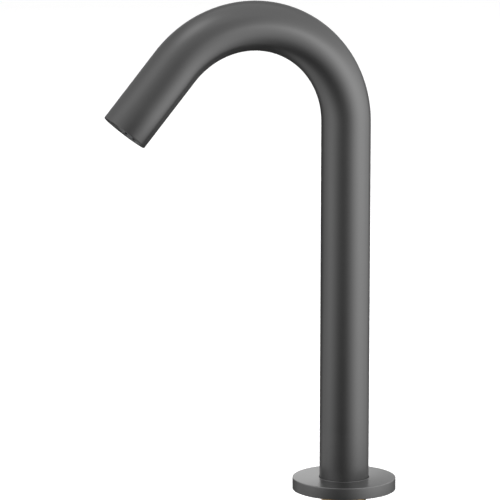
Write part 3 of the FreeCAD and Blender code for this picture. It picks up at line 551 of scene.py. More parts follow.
def build_spout(sizes):
    """The bent tube with its wall, its rounded ends and its two screw holes."""
    outer = sizes.tube_diameter / 2 / MM
    inner = outer - sizes.tube_wall / MM
    radius, run = sizes.bend_radius / MM, sizes.outlet_straight / MM
    foot, top = sizes.foot / MM, sizes.column_height / MM
    steps, foot_run, mouth_run = 120, 40.0, 18
    stations = [(Matrix.Translation((0, 0, foot + up)), up) for up in (0.0, foot_run)]
    for step in range(steps + 1):
        angle = sizes.bend_angle * step / steps
        turn = Matrix.Translation((-radius, 0, top)) @ Matrix.Rotation(-angle, 4, "Y")
        place = turn @ Matrix.Translation((radius, 0, 0))
        stations.append((place, top - foot + radius * angle))
    mouth = outlet_axes(sizes)
    reached = stations[-1][1] + run - mouth_run
    stations.append((mouth @ Matrix.Translation((0, 0, -mouth_run)), reached))
    total = reached + mouth_run

    sides = sizes.facets
    angles = full_turn(sides)
    rings, along = [], []

    def add_ring(place, reach, level, distance):
        """A round section of the tube, and how far along its skin it lies."""
        rings.append([place @ polar(reach, angle, level) for angle in angles])
        along.append(distance)

    quarter = [math.pi / 2 * step / 4 for step in range(5)]

    start = stations[0][0]
    rim = sizes.rim_rounding / MM
    lip = rim / 2
    for turn in quarter:
        sin, cos = math.sin(turn), math.cos(turn)
        add_ring(start, outer - rim * (1 - sin), rim * (1 - cos), rim * sin)
    for place, distance in stations[1:]:
        add_ring(place, outer, 0.0, distance)
    for turn in reversed(quarter):
        sin, cos = math.sin(turn), math.cos(turn)
        add_ring(mouth, outer - rim * (1 - sin), -rim * (1 - cos), total - rim * sin)
    for turn in quarter:
        sin, cos = math.sin(turn), math.cos(turn)
        add_ring(mouth, inner + lip * (1 - sin), -lip * (1 - cos), total + lip * sin)
    for place, distance in reversed(stations[1:]):
        add_ring(place, inner, 0.0, 2 * total - distance)
    add_ring(start, inner, 0.0, 2 * total)
    along.append(2 * total + TUBE_WALL)
    around = [2 * math.pi * outer * side / sides for side in range(sides + 1)]
    mesh = bmesh.new()
    skin(mesh, rings, along, around, closed=True)

    holes = bmesh.new()
    for place, hole in zip(screw_axes(sizes), (STOP_HOLE, INSERT_HOLE)):
        outline = section(
            (0, inner - 2), (hole, inner - 2), (hole, outer - 0.45), (hole + 0.85, outer + 0.4),
            (0, outer + 0.4),
        )
        lathe(holes, outline, place, sides=48)
    piece("spout_tube", carved(mesh, holes), "gunmetal", "spout", 40)


def build_flange(sizes, spout):
    """The cover flange: a turned plate on a rim, rounded on top and with a thin lip at its bore."""
    outer, height = sizes.flange_diameter / 2 / MM, sizes.flange_height / MM
    bore_radius = spout.tube_diameter / 2 / MM + FLANGE_GAP
    edge, lip = sizes.flange_edge / MM, sizes.flange_lip / MM
    ceiling = height - FLANGE_PLATE
    corners = [
        (FLANGE_HOLLOW, 0.0, 0.15),
        (outer, 0.0, 0.25),
        (outer, height, edge),
        (bore_radius + 0.7 * lip, height, lip / 4),
        (bore_radius + 0.6 * lip, height + lip, 0.35 * lip),
        (bore_radius, height + lip, 0.2 * lip),
        (bore_radius, ceiling, 0.1),
        (FLANGE_HOLLOW, ceiling, 0.5),
    ]
    piece("cover_flange", turned(rounded(corners, steps=8), sides=256), "gunmetal", "base", 40)


def threaded(mesh, radius, depth, pitch, low, high, sides):
    """A helical thread between two levels, open at both ends, where it fades into the root."""
    shape = [(0.0, 0.0), (0.12, 0.0), (0.46, 1.0), (0.54, 1.0), (0.88, 0.0)]
    turns = int((high - low) / pitch) + 3

    def point(turn, part, side):
        """A point of the thread's flank, which sinks to the root at both ends."""
        angle = 2 * math.pi * side / sides
        share, height = shape[part]
        level = low - pitch + (turn + share + side / sides) * pitch
        reach = radius - depth + depth * height
        fade = min(1.0, max(0.0, (level - low) / pitch), max(0.0, (high - level) / pitch))
        reach = radius - depth + (reach - radius + depth) * fade
        level = min(high, max(low, level))
        return polar(reach, angle, level)

    uv = mesh.loops.layers.uv.verify()
    grid = {}
    for turn in range(turns):
        for part in range(len(shape)):
            for side in range(sides):
                grid[turn * len(shape) + part, side] = mesh.verts.new(point(turn, part, side) * MM)
    rows = turns * len(shape)
    for row in range(rows - 1):
        for side in range(sides):
            wraps = side == sides - 1
            beside = 0 if wraps else side + 1
            climb = len(shape) if wraps else 0
            if row + 1 + climb >= rows:
                continue
            corners = [
                grid[row, side], grid[row + climb, beside], grid[row + 1 + climb, beside],
                grid[row + 1, side],
            ]
            face = mesh.faces.new(corners)
            spots = ((row, side), (row, side + 1), (row + 1, side + 1), (row + 1, side))
            for loop, (along, around) in zip(face.loops, spots):
                loop[uv].uv = (radius * 2 * math.pi * around / sides, along * pitch / len(shape))


def build_base_body(sizes):
    """Shank with its pipe thread, collar and grooved spigot, bored through."""
    sides = 120
    depth = sizes.thread_depth / MM
    root = SHANK_RADIUS - depth
    low, high = BASE_LOW.z + 0.6, -0.5
    foot, top = BASE_LOW.z, BASE_HIGH.z
    outline = section((root, high), (root, 1.3))
    outline += rounded(
        [
            (SHANK_RADIUS, COLLAR_FOOT, 0), (COLLAR_RADIUS, COLLAR_FOOT, 0.2),
            (COLLAR_RADIUS, COLLAR_TOP, 0.2), (SPIGOT_RADIUS, COLLAR_TOP, 0),
        ],
        closed=False,
    )
    groove = SPIGOT_RADIUS - GROOVE_DEPTH
    for level, half in ((STOP_LEVEL, STOP_HALF), *((level, SEAL_HALF) for level in SEAL_LEVELS)):
        outline += section(
            (SPIGOT_RADIUS, level - half), (groove, level - half),
            (groove, level + half), (SPIGOT_RADIUS, level + half),
        )
    outline += section(
        (SPIGOT_RADIUS, top - 0.6), (SPIGOT_RADIUS - 0.6, top), (SPIGOT_BORE + 0.3, top),
        (SPIGOT_BORE, top - 0.3), (SPIGOT_BORE, SPIGOT_FOOT), (SHANK_BORE, SPIGOT_FOOT),
        (SHANK_BORE, foot + 0.4), (SHANK_BORE + 0.4, foot), (root - 0.4, foot), (root, low),
    )
    mesh = bmesh.new()
    lathe(mesh, outline, sides=sides, closed=False)
    threaded(mesh, SHANK_RADIUS, depth, sizes.thread_pitch / MM, low, high, sides)
    piece("base_body", mesh, "brass", "base", 25)


def build_clamp(sizes):
    """Back nut, washer and gaskets, with broken edges."""
    flats, sides = sizes.nut_flats / MM, 120
    land = flats / 2 - 0.5
    low, high = NUT_LOW.z, NUT_HIGH.z
    rings = [[] for _ in range(7)]
    for angle in full_turn(sides):
        reach = flats / 2 / math.cos((angle + math.pi / 6) % (math.pi / 3) - math.pi / 6)
        drop = max(0.0, reach - land) * math.tan(math.radians(30))
        profile = (
            (NUT_BORE, low + 0.7), (NUT_BORE, high), (min(reach, land + 2.0), high), (reach, high),
            (reach, low + drop), (min(reach, land), low), (NUT_BORE + 0.7, low),
        )
        for ring, (radius, level) in zip(rings, profile):
            ring.append(polar(radius, angle, level))
    mesh = bmesh.new()
    around = [flats / 2 * 2 * math.pi * side / sides for side in range(sides + 1)]
    skin(mesh, rings, [0, 8, 14, 16, 24, 26, 30, 31], around, closed=True)
    piece("back_nut", mesh, "brass", "base", 25)

    for node, edge, finish in (
        ("clamp_washer", 0.25, "steel"),
        ("clamp_gasket", 0.4, "rubber"),
        ("deck_gasket", 0.3, "rubber"),
    ):
        under, over = box_of(node)
        corners = [
            (CLAMP_BORE, under.z, edge / 2), (over.x, under.z, edge),
            (over.x, over.z, edge), (CLAMP_BORE, over.z, edge / 2),
        ]
        piece(node, turned(rounded(corners), sides=160), finish, "base")


def build_inlet():
    """Pipe end, plug with its key slots, lead socket and pins, under the deck."""
    foot, head = PIPE_LOW.z, PIPE_HIGH.z
    plug, top = PLUG_LOW.z, BASE_HIGH.z
    outline = section(
        (PIPE_BORE, foot + 0.3), (PIPE_BORE + 0.3, foot), (TAIL_RADIUS - 0.6, foot),
        (TAIL_RADIUS, foot + 0.6), (TAIL_RADIUS, plug), (PIPE_RADIUS, plug), (PIPE_RADIUS, top),
        (STEM_RADIUS, top), (STEM_RADIUS, head), (STEM_BORE, head), (STEM_BORE, top),
        (PIPE_BORE, top),
    )
    piece("inlet_pipe", turned(outline, sides=72), "brass", "base")

    hole, body = PIPE_RADIUS + SEAL_GAP, SHANK_BORE - SEAL_GAP
    lip, head = plug + PLUG_LIP, PLUG_HIGH.z
    corners = [
        (hole, plug, 0.2), (SHANK_RADIUS, plug, 0.5), (SHANK_RADIUS, lip, 0.1), (body, lip, 0),
        (body, head, 0.3), (hole, head, 0.2),
    ]
    mesh = turned(rounded(corners), sides=120)
    cuts = bmesh.new()
    seat = SOCKET_RADIUS + SEAL_GAP
    socket_x = (SOCKET_LOW.x + SOCKET_HIGH.x) / 2
    socket = Matrix.Translation((socket_x, 0, 0))
    outline = section(
        (0, plug - 1), (seat + 0.3, plug - 1), (seat, plug + 0.3), (seat, head + 1), (0, head + 1)
    )
    lathe(cuts, outline, socket, sides=48)
    for side in (1, -1):
        outlines = []
        for level, grow in ((-0.5, 0.5), (0.0, 0.15), (0.15, 0.0), (1.5, 0.0)):
            half, near, far = 1.5 + grow, side * (PLUG_SLOT_FOOT - grow), side * PLUG_SLOT_END
            corners = ((-half, near), (half, near), (half, far), (-half, far))
            outlines.append([Vector((x, y, plug + level)) for x, y in corners])
        stack(cuts, outlines)
    piece("shank_plug", carved(mesh, cuts), "black_plastic", "base")

    foot, head = SOCKET_LOW.z, SOCKET_HIGH.z
    floor = foot + SOCKET_DEPTH
    corners = [
        (0, floor, 0), (SOCKET_HOLE, floor, 0), (SOCKET_HOLE, foot, 0.15),
        (SOCKET_RADIUS, foot, 0.15), (SOCKET_RADIUS, head, 0.2), (0, head, 0),
    ]
    piece("lead_socket", turned(rounded(corners), socket, 48), "black_plastic", "base")

    mesh = bmesh.new()
    under, over = box_of("socket_pins")
    corners = [(0, under.z, 0), (PIN_RADIUS, under.z, 0.2), (PIN_RADIUS, over.z, 0), (0, over.z, 0)]
    for angle in full_turn(3):
        across, aside = PIN_CIRCLE * math.cos(angle), PIN_CIRCLE * math.sin(angle)
        lathe(mesh, rounded(corners), Matrix.Translation((socket_x + across, aside, 0)), sides=16)
    piece("socket_pins", mesh, "gold", "base")


def eye_outlines(sizes, axes, gap, steps):
    """Outlines of the eye's slot, each from how much it grows and its level from the face."""
    radius, face = sizes.eye_radius / MM + gap, -sizes.recess / MM
    spread, shift = sizes.eye_spread / MM, sizes.eye_shift / MM
    return [
        [axes @ point for point in slot_outline(spread, radius + grow, face + level, shift)]
        for grow, level in steps
    ]


def build_insert(sizes, spout):
    """The insert in the mouth, with bevelled seats for aerator and eye, seal groove and barb."""
    axes = outlet_axes(spout)
    face = -sizes.recess / MM
    back = face - INSERT_LENGTH
    outer = sizes.insert_diameter / 2 / MM
    seat = sizes.aerator_diameter / 2 / MM + SEAT_GAP
    groove = outer - INSERT_GROOVE
    corners = [
        (0, face, 0), (outer, face, 0.2), (outer, back + 3.35, 0), (groove, back + 3.35, 0),
        (groove, back + 1.45, 0), (outer, back + 1.45, 0), (outer, back, 0.2),
        (BARB_CREST, back, 0),
    ]
    for tooth in range(1, BARB_TEETH + 1):
        tip = back - BARB_LENGTH * tooth / BARB_TEETH
        corners += [(BARB_ROOT, tip, 0), (BARB_CREST, tip, 0)]
    corners[-1] = (0, tip, 0)
    mesh = turned(rounded(corners), axes, 144)

    cuts = bmesh.new()
    outline = section(
        (0, face + 0.5), (seat + 0.65, face + 0.5), (seat, face - 0.15), (seat, face - SEAT_DEPTH),
        (ROOM_RADIUS, face - SEAT_DEPTH), (ROOM_RADIUS, face - ROOM_DEPTH), (0, face - ROOM_DEPTH),
    )
    lathe(cuts, outline, axes @ Matrix.Translation((-sizes.aerator_shift / MM, 0, 0)), sides=128)
    stack(cuts, eye_outlines(sizes, axes, SEAL_GAP, ((0.62, 0.5), (0.0, -0.12), (0.0, -EYE_DEPTH))))
    mesh = carved(mesh, cuts)

    ways = bmesh.new()
    lead = axes @ Matrix.Translation((LEAD_SHIFT, 0, 0))
    for hole, place in (
        (bore(WATER_WAY, face - 11, back - 15), axes),
        (bore(LEAD_WAY, face - 11.5, back - 1), lead),
        (bore(INSERT_HOLE, outer - 1.5, outer + 1), screw_axes(spout)[1]),
    ):
        lathe(ways, hole, place, sides=32)
    piece("outlet_insert", carved(mesh, ways), "black_plastic", "spout")


def build_eye(sizes, spout):
    """The dark window: a slot of glossy plastic with a rounded edge."""
    steps = (
        (-0.1, -1.2), (0.0, -1.1), (0.0, -0.16), (-0.05, -0.06), (-0.16, -0.02), (-0.5, 0.0),
        (-1.2, 0.0), (-2.2, 0.0), (-3.0, 0.0),
    )
    mesh = bmesh.new()
    stack(mesh, eye_outlines(sizes, outlet_axes(spout), 0.0, steps))
    piece("sensor_window", mesh, "window", "spout")


def build_aerator(sizes, spout):
    """The cartridge's rim with its key slots, and its grid of flared holes."""
    axes = outlet_axes(spout) @ Matrix.Translation((-sizes.aerator_shift / MM, 0, 0))
    face = -sizes.recess / MM
    outer = sizes.aerator_diameter / 2 / MM
    inner, back = outer - SHELL_WALL, face - SHELL_LENGTH
    quarter = [math.pi / 2 * step / 3 for step in range(4)]
    walls = [
        (KEY_HALF + KEY_EDGE * (1 - math.sin(turn)), KEY_EDGE * (1 - math.cos(turn)))
        for turn in quarter
    ]
    gap = 2 * math.pi / sizes.key_slots
    start = math.asin((KEY_HALF + KEY_EDGE) / outer)
    columns = []
    for middle in full_turn(sizes.key_slots):
        after = middle + gap
        columns += [(middle, 0.0, KEY_DEPTH), (middle, KEY_HALF, KEY_DEPTH)]
        columns += [(middle, side, drop) for side, drop in reversed(walls)]
        columns += [(middle + start + (gap - 2 * start) * k / 8, 0.0, 0.0) for k in range(1, 8)]
        columns += [(after, -side, drop) for side, drop in walls]
        columns.append((after, -KEY_HALF, KEY_DEPTH))

    def spot(column, radius, level):
        """A point of the rim, set off square to its column's angle so that slots are parallel."""
        angle, side, _ = column
        run = math.sqrt(radius * radius - side * side)
        sin, cos = math.sin(angle), math.cos(angle)
        return axes @ Vector((run * cos - side * sin, run * sin + side * cos, level))

    corners = [(outer, -2.0, 0), (outer, 0.0, KEY_EDGE), (inner, 0.0, KEY_EDGE), (inner, -2.0, 0)]
    rings = [[spot(column, radius, back) for column in columns] for radius in (inner, outer)]
    for radius, level in rounded(corners, closed=False, steps=3):
        rings.append([spot(column, radius, face + level - column[2]) for column in columns])
    mesh = bmesh.new()
    around = [0.4 * k for k in range(len(columns) + 1)]
    skin(mesh, rings, [0.5 * k for k in range(len(rings) + 1)], around, closed=True)
    piece("aerator_shell", mesh, "grey_plastic", "aerator", 35)

    top, foot = face - GRID_RECESS, face - GRID_RECESS - GRID_THICKNESS
    rim = inner - SEAL_GAP
    corners = [(0, top, 0), (rim, top, 0.12), (rim, foot, 0), (0, foot, 0)]
    mesh = turned(rounded(corners), axes)
    cuts = bmesh.new()
    outline = section(
        (0, top + 0.3), (GRID_HOLE + 0.42, top + 0.3), (GRID_HOLE, top - 0.12),
        (GRID_HOLE, foot - 0.3), (0, foot - 0.3),
    )
    reach = range(-3, 4)
    for row, step in ((row, step) for row in reach for step in reach if abs(row + step) <= 3):
        x, y = GRID_PITCH * (row + step / 2), GRID_PITCH * step * math.cos(math.pi / 6)
        lathe(cuts, outline, axes @ Matrix.Translation((x, y, 0)), sides=24)
    piece("aerator_grid", carved(mesh, cuts), "grey_plastic", "aerator")


def build_screws(spout):
    """The two grub screws with their hexagon sockets."""
    tube = spout.tube_diameter / 2 / MM
    dog, neck = 10.4, 11.57
    stop_head, grip_head, grip_foot = tube - 0.4, tube - 0.3, tube - 2.7
    stop = [
        (0, dog, 0), (1.6, dog, 0.2), (1.6, neck, 0), (2.48, neck, 0.3), (2.48, stop_head, 0.35),
        (0, stop_head, 0),
    ]
    grip = [
        (0, grip_foot, 0), (0.98, grip_foot, 0), (1.48, tube - 2.2, 0), (1.48, grip_head, 0.2),
        (0, grip_head, 0),
    ]
    screws = (
        ("stop_screw", stop, 2.5, stop_head, 1.3),
        ("insert_screw", grip, 1.5, grip_head, 1.0),
    )
    for place, (node, corners, key, head, depth) in zip(screw_axes(spout), screws):
        mesh = turned(rounded(corners, steps=3), place, 48)
        socket = bmesh.new()
        outlines = []
        for grow, level in ((0.5, 0.2), (0.12, 0.0), (0.0, -0.08), (0.0, -depth)):
            outlines.append([place @ point for point in hexagon_outline(key + grow, head + level)])
        stack(socket, outlines)
        piece(node, carved(mesh, socket), "steel", "spout")


INNER_FINISHES = {
    "flange_o_ring": "rubber", "spigot_o_rings": "rubber", "slip_ring": "black_plastic",
    "stem_o_rings": "rubber", "pipe_clip": "plain_steel", "pipe_guide": "white_plastic",
    "lead_tail": "lead", "lead_slack": "lead", "foot_bush": "plain_brass",
    "hose_coupling": "plain_brass", "water_hose": "hose", "lower_ferrule": "plain_steel",
    "upper_ferrule": "plain_steel", "sensor_lead": "lead", "lead_clips": "white_plastic",
    "insert_o_ring": "rubber", "window_gasket": "rubber", "sensor_shell": "black_plastic",
    "sensor_board": "board", "infrared_emitter": "clear_resin", "infrared_receiver": "dark_resin",
    "aerator_washer": "rubber", "aerator_screens": "mesh", "flow_regulator": "white_plastic",
    "inlet_strainer": "white_plastic",
}


def dress_inner_parts():
    """Gives each part that keeps its own shape its finish."""
    for node, finish in INNER_FINISHES.items():
        item = NODES[node]
        item.data.materials.clear()
        item.data.materials.append(finish_named(finish))


# ---------------------------------------------------------------- stage

def clear_from_behind(add, surface):
    """The surface, see-through from its back."""
    back = add("ShaderNodeNewGeometry").outputs["Backfacing"]
    clear = add("ShaderNodeBsdfTransparent").outputs["BSDF"]
    return add("ShaderNodeMixShader", {"Fac": back, 1: surface, 2: clear}).outputs["Shader"]


def reflector(name, azimuths, rows, one_sided=False):
    """A studio card that only the metal sees, as bright at each point as its table says.

    Azimuths are in degrees from the camera's side. Each row is its distance from the column, its
    height above the floor and a strength for each azimuth. A one-sided card is clear from its back.
    """
    turn = bpy.context.scene.tap_studio.azimuth
    floor = CAD_BOX[0].z
    mesh = bmesh.new()
    glow = mesh.verts.layers.float.new("glow")
    grid = []
    for reach, height, strengths in rows:
        row = []
        for azimuth, strength in zip(azimuths, strengths):
            angle = turn + math.radians(azimuth)
            x, y = reach * math.sin(angle), -reach * math.cos(angle)
            vertex = mesh.verts.new((x, y, floor + height))
            vertex[glow] = strength
            row.append(vertex)
        grid.append(row)
    for low, high in zip(grid, grid[1:]):
        for k in range(len(azimuths) - 1):
            mesh.faces.new((low[k], low[k + 1], high[k + 1], high[k]))
    data = bpy.data.meshes.new(name)
    mesh.to_mesh(data)
    mesh.free()
    material = bpy.data.materials.new(name)
    material.use_nodes = True
    tree = material.node_tree
    tree.nodes.clear()
    add = node_adder(tree)
    strength = add("ShaderNodeAttribute", attribute_name="glow").outputs["Fac"]
    emission = add("ShaderNodeEmission", {"Strength": strength}, in_Color=(1, 1, 1, 1))
    out = add("ShaderNodeOutputMaterial")
    surface = emission.outputs["Emission"]
    if one_sided:
        surface = clear_from_behind(add, surface)
    feed(out, Surface=surface)
    data.materials.append(material)
    item = bpy.data.objects.new(name, data)
    bpy.context.scene.collection.objects.link(item)
    item.visible_camera = False
    item.visible_diffuse = False
    item.visible_shadow = False


FRONT_AZIMUTHS = (-125, -98, -73, -51, -31, -12, 6, 25, 44, 65, 89, 119, 135)
FRONT_ROWS = (
    (0.03, 0.001, (0.3, 0.3, 0.25, 0.2, 0.15, 0.15, 0.15, 0.2, 0.3, 0.35, 0.35, 0.25, 0.25)),
    (0.15, 0.001, (0.55, 0.60, 0.50, 0.30, 0.20, 0.15, 0.20, 0.30, 0.50, 0.65, 0.60, 0.40, 0.30)),
    (0.45, 0.001, (0.65, 0.75, 0.85, 0.58, 0.28, 0.17, 0.28, 0.70, 1.20, 1.60, 1.50, 1.00, 0.50)),
    (0.45, 0.13, (0.45, 0.76, 1.08, 0.78, 0.42, 0.27, 0.38, 0.85, 1.40, 1.90, 1.80, 1.25, 0.60)),
    (0.45, 0.30, (0.50, 0.80, 1.20, 0.90, 0.50, 0.30, 0.45, 0.95, 1.80, 2.30, 2.20, 1.40, 0.80)),
    (0.45, 0.40, (0.55, 0.80, 1.10, 0.90, 0.60, 0.45, 0.60, 1.20, 2.30, 2.30, 1.90, 1.35, 0.90)),
    (0.45, 0.50, (0.60, 0.80, 1.00, 0.80, 0.65, 0.55, 0.65, 0.90, 1.30, 1.40, 1.30, 1.15, 0.90)),
    (0.45, 0.65, (0.60, 0.80, 1.05, 1.05, 0.80, 0.72, 0.72, 0.80, 1.00, 1.10, 1.10, 1.00, 0.90)),
    (0.40, 0.85, (0.80, 0.90, 1.10, 1.20, 0.90, 0.80, 0.80, 0.85, 0.90, 1.00, 1.00, 0.95, 0.90)),
)
BACK_AZIMUTHS = (135, 155, 168, 180, 192, 205, 235)
BACK_ROWS = (
    (0.03, 0.001, (0.25, 0.15, 0.15, 0.15, 0.15, 0.15, 0.25)),
    (0.20, 0.001, (0.30, 0.15, 0.12, 0.10, 0.10, 0.15, 0.45)),
    (0.45, 0.001, (0.45, 0.20, 0.08, 0.05, 0.05, 0.10, 0.45)),
    (0.90, 0.001, (0.40, 0.15, 0.05, 0.02, 0.02, 0.05, 0.30)),
    (4.00, 0.001, (0.40, 0.20, 0.12, 0.08, 0.08, 0.12, 0.35)),
    (4.00, 0.50, (0.80, 0.50, 0.40, 0.40, 0.40, 0.40, 0.50)),
    (4.00, 1.35, (0.80, 0.55, 0.45, 0.45, 0.45, 0.45, 0.50)),
    (4.00, 1.60, (0.85, 0.55, 0.40, 0.40, 0.40, 0.45, 0.55)),
    (4.00, 2.80, (0.85, 0.60, 0.45, 0.45, 0.45, 0.50, 0.65)),
    (4.00, 4.50, (0.90, 0.85, 0.80, 0.80, 0.80, 0.80, 0.85)),
)
LOW_AZIMUTHS = (*FRONT_AZIMUTHS, 155, 170, 180, 190, 205, 235)
LOW_GLOW = (
    1.0, 1.9, 2.4, 2.1, 1.4, 0.9, 1.2, 2.1, 2.6, 2.6, 2.4, 1.7, 1.0,
    0.65, 1.0, 1.25, 1.45, 1.2, 1.0,
)
LOW_ROWS = ((0.045, 0.12, LOW_GLOW), (1.20, 0.12, LOW_GLOW))
TOP_LEFT_AZIMUTHS = (-130, -95, -60, -30, 0)
TOP_LEFT_ROWS = (
    (0.75, 1.00, (0.80, 0.95, 1.15, 1.00, 0.85)),
    (0.60, 1.20, (0.90, 1.40, 1.80, 1.30, 0.90)),
    (0.35, 1.30, (1.00, 1.70, 2.00, 1.50, 0.95)),
    (0.10, 1.35, (0.95, 0.95, 0.95, 0.95, 0.95)),
)


# Each lamp's place and aim in metres, its width and height, and its power in watts.
LAMPS = {
    "left_light": ((-1.6, -1.2, 1.3), (0, 0, 0.1), (1.2, 1.2), 22),
    "right_light": ((1.7, -0.6, 1.2), (0, 0, 0.1), (1.0, 1.4), 30),
    "top_light": ((0.1, 0.5, 2.2), (0, 0, 0), (1.6, 1.6), 30),
}
ROOM_LIGHT = 0.55
FLOOR_LIFT, FLOOR_RADIUS, FLOOR_GAP = 0.25, 9.0, 0.0005
CAMERA_AIM = Vector((-58.77, -0.03, 145.33))


def lamp(name, place, aim, size, power):
    """A square soft light."""
    light = bpy.data.lights.new(name, "AREA")
    light.shape = "RECTANGLE"
    light.size, light.size_y = size
    light.energy = power
    item = bpy.data.objects.new(name, light)
    item.location = place
    item.rotation_mode = "QUATERNION"
    item.rotation_quaternion = (Vector(aim) - Vector(place)).to_track_quat("-Z", "Y")
    item.visible_glossy = False
    bpy.context.scene.collection.objects.link(item)


def seen_directly(add):
    """A flag that is 1 for the rays of camera, mirror and glass."""
    path = add("ShaderNodeLightPath").outputs
    seen = path["Is Camera Ray"]
    for ray in ("Is Glossy Ray", "Is Transmission Ray"):
        seen = add("ShaderNodeMath", {0: seen, 1: path[ray]}, operation="MAXIMUM").outputs["Value"]
    return seen


def build_world():
    """An even pale room that the camera, metal and glass see as white."""
    scene = bpy.context.scene
    world = scene.world or bpy.data.worlds.new("studio")
    scene.world = world
    world.use_nodes = True
    world.node_tree.nodes.clear()
    add = node_adder(world.node_tree)
    strength = set_range(add, seen_directly(add), ROOM_LIGHT, 1.0)
    glow = add("ShaderNodeBackground", {"Strength": strength}, in_Color=(1, 1, 1, 1))
    add("ShaderNodeOutputWorld", {"Surface": glow.outputs["Background"]})


def build_floor(studio):
    """A pale floor that takes shadows, white to camera and mirror rays and clear from below."""
    material, shader, add = new_material(
        "floor", Roughness=0.9, Specular_IOR_Level=0.0, Emission_Color=(1, 1, 1, 1)
    )
    shade = tuple(studio.floor)
    grain = add("ShaderNodeTexNoise", in_Scale=60.0)
    ramp = add("ShaderNodeValToRGB", {"Fac": grain.outputs["Fac"]})
    ramp.color_ramp.elements[0].color = (*[channel * 0.99 for channel in shade], 1)
    ramp.color_ramp.elements[1].color = (*shade, 1)
    lift = add("ShaderNodeMath", {0: seen_directly(add)}, operation="MULTIPLY")
    lift.inputs[1].default_value = FLOOR_LIFT
    feed(shader, Base_Color=ramp.outputs["Color"], Emission_Strength=lift.outputs["Value"])
    surface = clear_from_behind(add, shader.outputs["BSDF"])
    feed(material.node_tree.nodes["Material Output"], Surface=surface)
    bpy.ops.mesh.primitive_circle_add(vertices=96, radius=FLOOR_RADIUS, fill_type="NGON")
    floor = bpy.context.object
    floor.name = "floor"
    floor.location = (0, 0, CAD_BOX[0].z - FLOOR_GAP)
    floor.data.materials.append(material)


def build_camera(studio):
    """The camera of the photograph: a long lens, low and a little to the left."""
    azimuth, elevation = studio.azimuth, studio.elevation
    flat = math.cos(elevation)
    back = Vector((math.sin(azimuth) * flat, -math.cos(azimuth) * flat, math.sin(elevation)))
    data = bpy.data.cameras.new("camera")
    data.sensor_width = 36.0
    data.lens = studio.lens
    data.clip_end = 100.0
    camera = bpy.data.objects.new("camera", data)
    camera.rotation_mode = "QUATERNION"
    camera.location = CAMERA_AIM * MM + back * studio.distance
    level = (-back).to_track_quat("-Z", "Y")
    camera.rotation_quaternion = level @ Matrix.Rotation(studio.roll, 3, "Z").to_quaternion()
    bpy.context.scene.collection.objects.link(camera)
    bpy.context.scene.camera = camera


# ---------------------------------------------------------------- operators and panel

class TapOperator:
    """What every builder of the tap shares."""

    bl_options = {"REGISTER", "UNDO"}

    @classmethod
    def poll(cls, context):
        return context.scene is not None


class TAP_OT_spout(TapOperator, bpy.types.Operator):
    """Build the bent tube"""

    bl_idname = "tap.spout"
    bl_label = "Spout"

    def execute(self, context):
        build_spout(context.scene.tap_spout)
        return {"FINISHED"}


class TAP_OT_flange(TapOperator, bpy.types.Operator):
    """Build the cover flange"""

    bl_idname = "tap.flange"
    bl_label = "Cover flange"

    def execute(self, context):
        build_flange(context.scene.tap_base, context.scene.tap_spout)
        return {"FINISHED"}


class TAP_OT_base_body(TapOperator, bpy.types.Operator):
    """Build the threaded base body"""

    bl_idname = "tap.base_body"
    bl_label = "Base body"

    def execute(self, context):
        build_base_body(context.scene.tap_base)
        return {"FINISHED"}


class TAP_OT_clamp(TapOperator, bpy.types.Operator):
    """Build the back nut, the washer and the gaskets"""

    bl_idname = "tap.clamp"
    bl_label = "Clamp"

    def execute(self, context):
        build_clamp(context.scene.tap_base)
        return {"FINISHED"}


class TAP_OT_inlet(TapOperator, bpy.types.Operator):
    """Build the pipe end, the plug and the lead's socket"""

    bl_idname = "tap.inlet"
    bl_label = "Inlet"

    def execute(self, context):
        build_inlet()
        return {"FINISHED"}


class TAP_OT_insert(TapOperator, bpy.types.Operator):
    """Build the outlet insert"""

    bl_idname = "tap.insert"
    bl_label = "Outlet insert"

    def execute(self, context):
        build_insert(context.scene.tap_outlet, context.scene.tap_spout)
        return {"FINISHED"}


class TAP_OT_eye(TapOperator, bpy.types.Operator):
    """Build the window of the infrared eye"""

    bl_idname = "tap.eye"
    bl_label = "Eye"

    def execute(self, context):
        build_eye(context.scene.tap_outlet, context.scene.tap_spout)
        return {"FINISHED"}


class TAP_OT_aerator(TapOperator, bpy.types.Operator):
    """Build the aerator's rim and grid"""

    bl_idname = "tap.aerator"
    bl_label = "Aerator"

    def execute(self, context):
        build_aerator(context.scene.tap_outlet, context.scene.tap_spout)
        return {"FINISHED"}


class TAP_OT_screws(TapOperator, bpy.types.Operator):
    """Build the two grub screws"""

    bl_idname = "tap.screws"
    bl_label = "Grub screws"

    def execute(self, context):
        build_screws(context.scene.tap_spout)
        return {"FINISHED"}


class TAP_OT_inner_parts(TapOperator, bpy.types.Operator):
    """Give the inner parts their finishes"""

    bl_idname = "tap.inner_parts"
    bl_label = "Inner parts"

    def execute(self, context):
        dress_inner_parts()
        return {"FINISHED"}


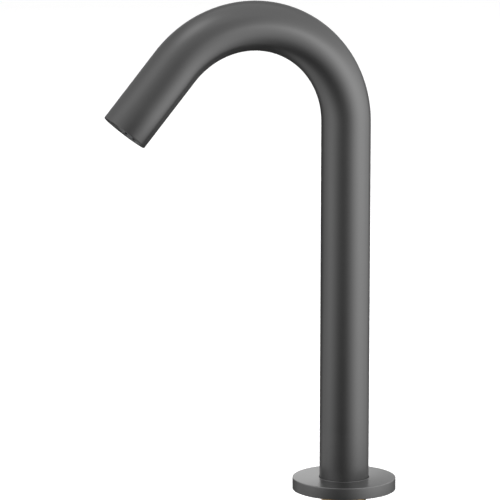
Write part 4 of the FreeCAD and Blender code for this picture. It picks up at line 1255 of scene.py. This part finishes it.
class TAP_OT_stage(TapOperator, bpy.types.Operator):
    """Set up floor, room, lights, reflecting cards and camera"""

    bl_idname = "tap.stage"
    bl_label = "Stage"

    def execute(self, context):
        studio = context.scene.tap_studio
        build_world()
        build_floor(studio)
        build_camera(studio)
        for name, settings in LAMPS.items():
            lamp(name, *settings)
        reflector("front_card", FRONT_AZIMUTHS, FRONT_ROWS)
        reflector("back_card", BACK_AZIMUTHS, BACK_ROWS)
        reflector("top_left_card", TOP_LEFT_AZIMUTHS, TOP_LEFT_ROWS)
        reflector("low_card", LOW_AZIMUTHS, LOW_ROWS, one_sided=True)
        context.scene.view_settings.view_transform = "Standard"
        return {"FINISHED"}


BUILDERS = (
    TAP_OT_spout,
    TAP_OT_flange,
    TAP_OT_base_body,
    TAP_OT_clamp,
    TAP_OT_inlet,
    TAP_OT_insert,
    TAP_OT_eye,
    TAP_OT_aerator,
    TAP_OT_screws,
    TAP_OT_inner_parts,
    TAP_OT_stage,
)


class TAP_PT_panel(bpy.types.Panel):
    """Sizes, finishes and builders of the tap"""

    bl_idname = "TAP_PT_panel"
    bl_label = "Sensor tap"
    bl_space_type = "VIEW_3D"
    bl_region_type = "UI"
    bl_category = "Tap"

    def draw(self, context):
        layout = self.layout
        for group in GROUPS:
            settings = getattr(context.scene, group)
            box = layout.box()
            for key in settings.bl_rna.properties.keys():
                if key not in ("rna_type", "name"):
                    box.prop(settings, key)
        for builder in BUILDERS:
            layout.operator(builder.bl_idname)


GROUPS = {
    "tap_spout": SpoutSizes,
    "tap_base": BaseSizes,
    "tap_outlet": OutletSizes,
    "tap_finishes": Finishes,
    "tap_studio": StudioSizes,
}


def register():
    for group in GROUPS.values():
        bpy.utils.register_class(group)
    for name, group in GROUPS.items():
        setattr(bpy.types.Scene, name, PointerProperty(type=group))
    for item in (*BUILDERS, TAP_PT_panel):
        bpy.utils.register_class(item)


def unregister():
    for item in reversed((*BUILDERS, TAP_PT_panel)):
        bpy.utils.unregister_class(item)
    for name in GROUPS:
        delattr(bpy.types.Scene, name)
    for group in reversed(list(GROUPS.values())):
        bpy.utils.unregister_class(group)


def main():
    register()
    for builder in BUILDERS:
        family, name = builder.bl_idname.split(".")
        getattr(getattr(bpy.ops, family), name)()


if __name__ == "__main__":
    main()
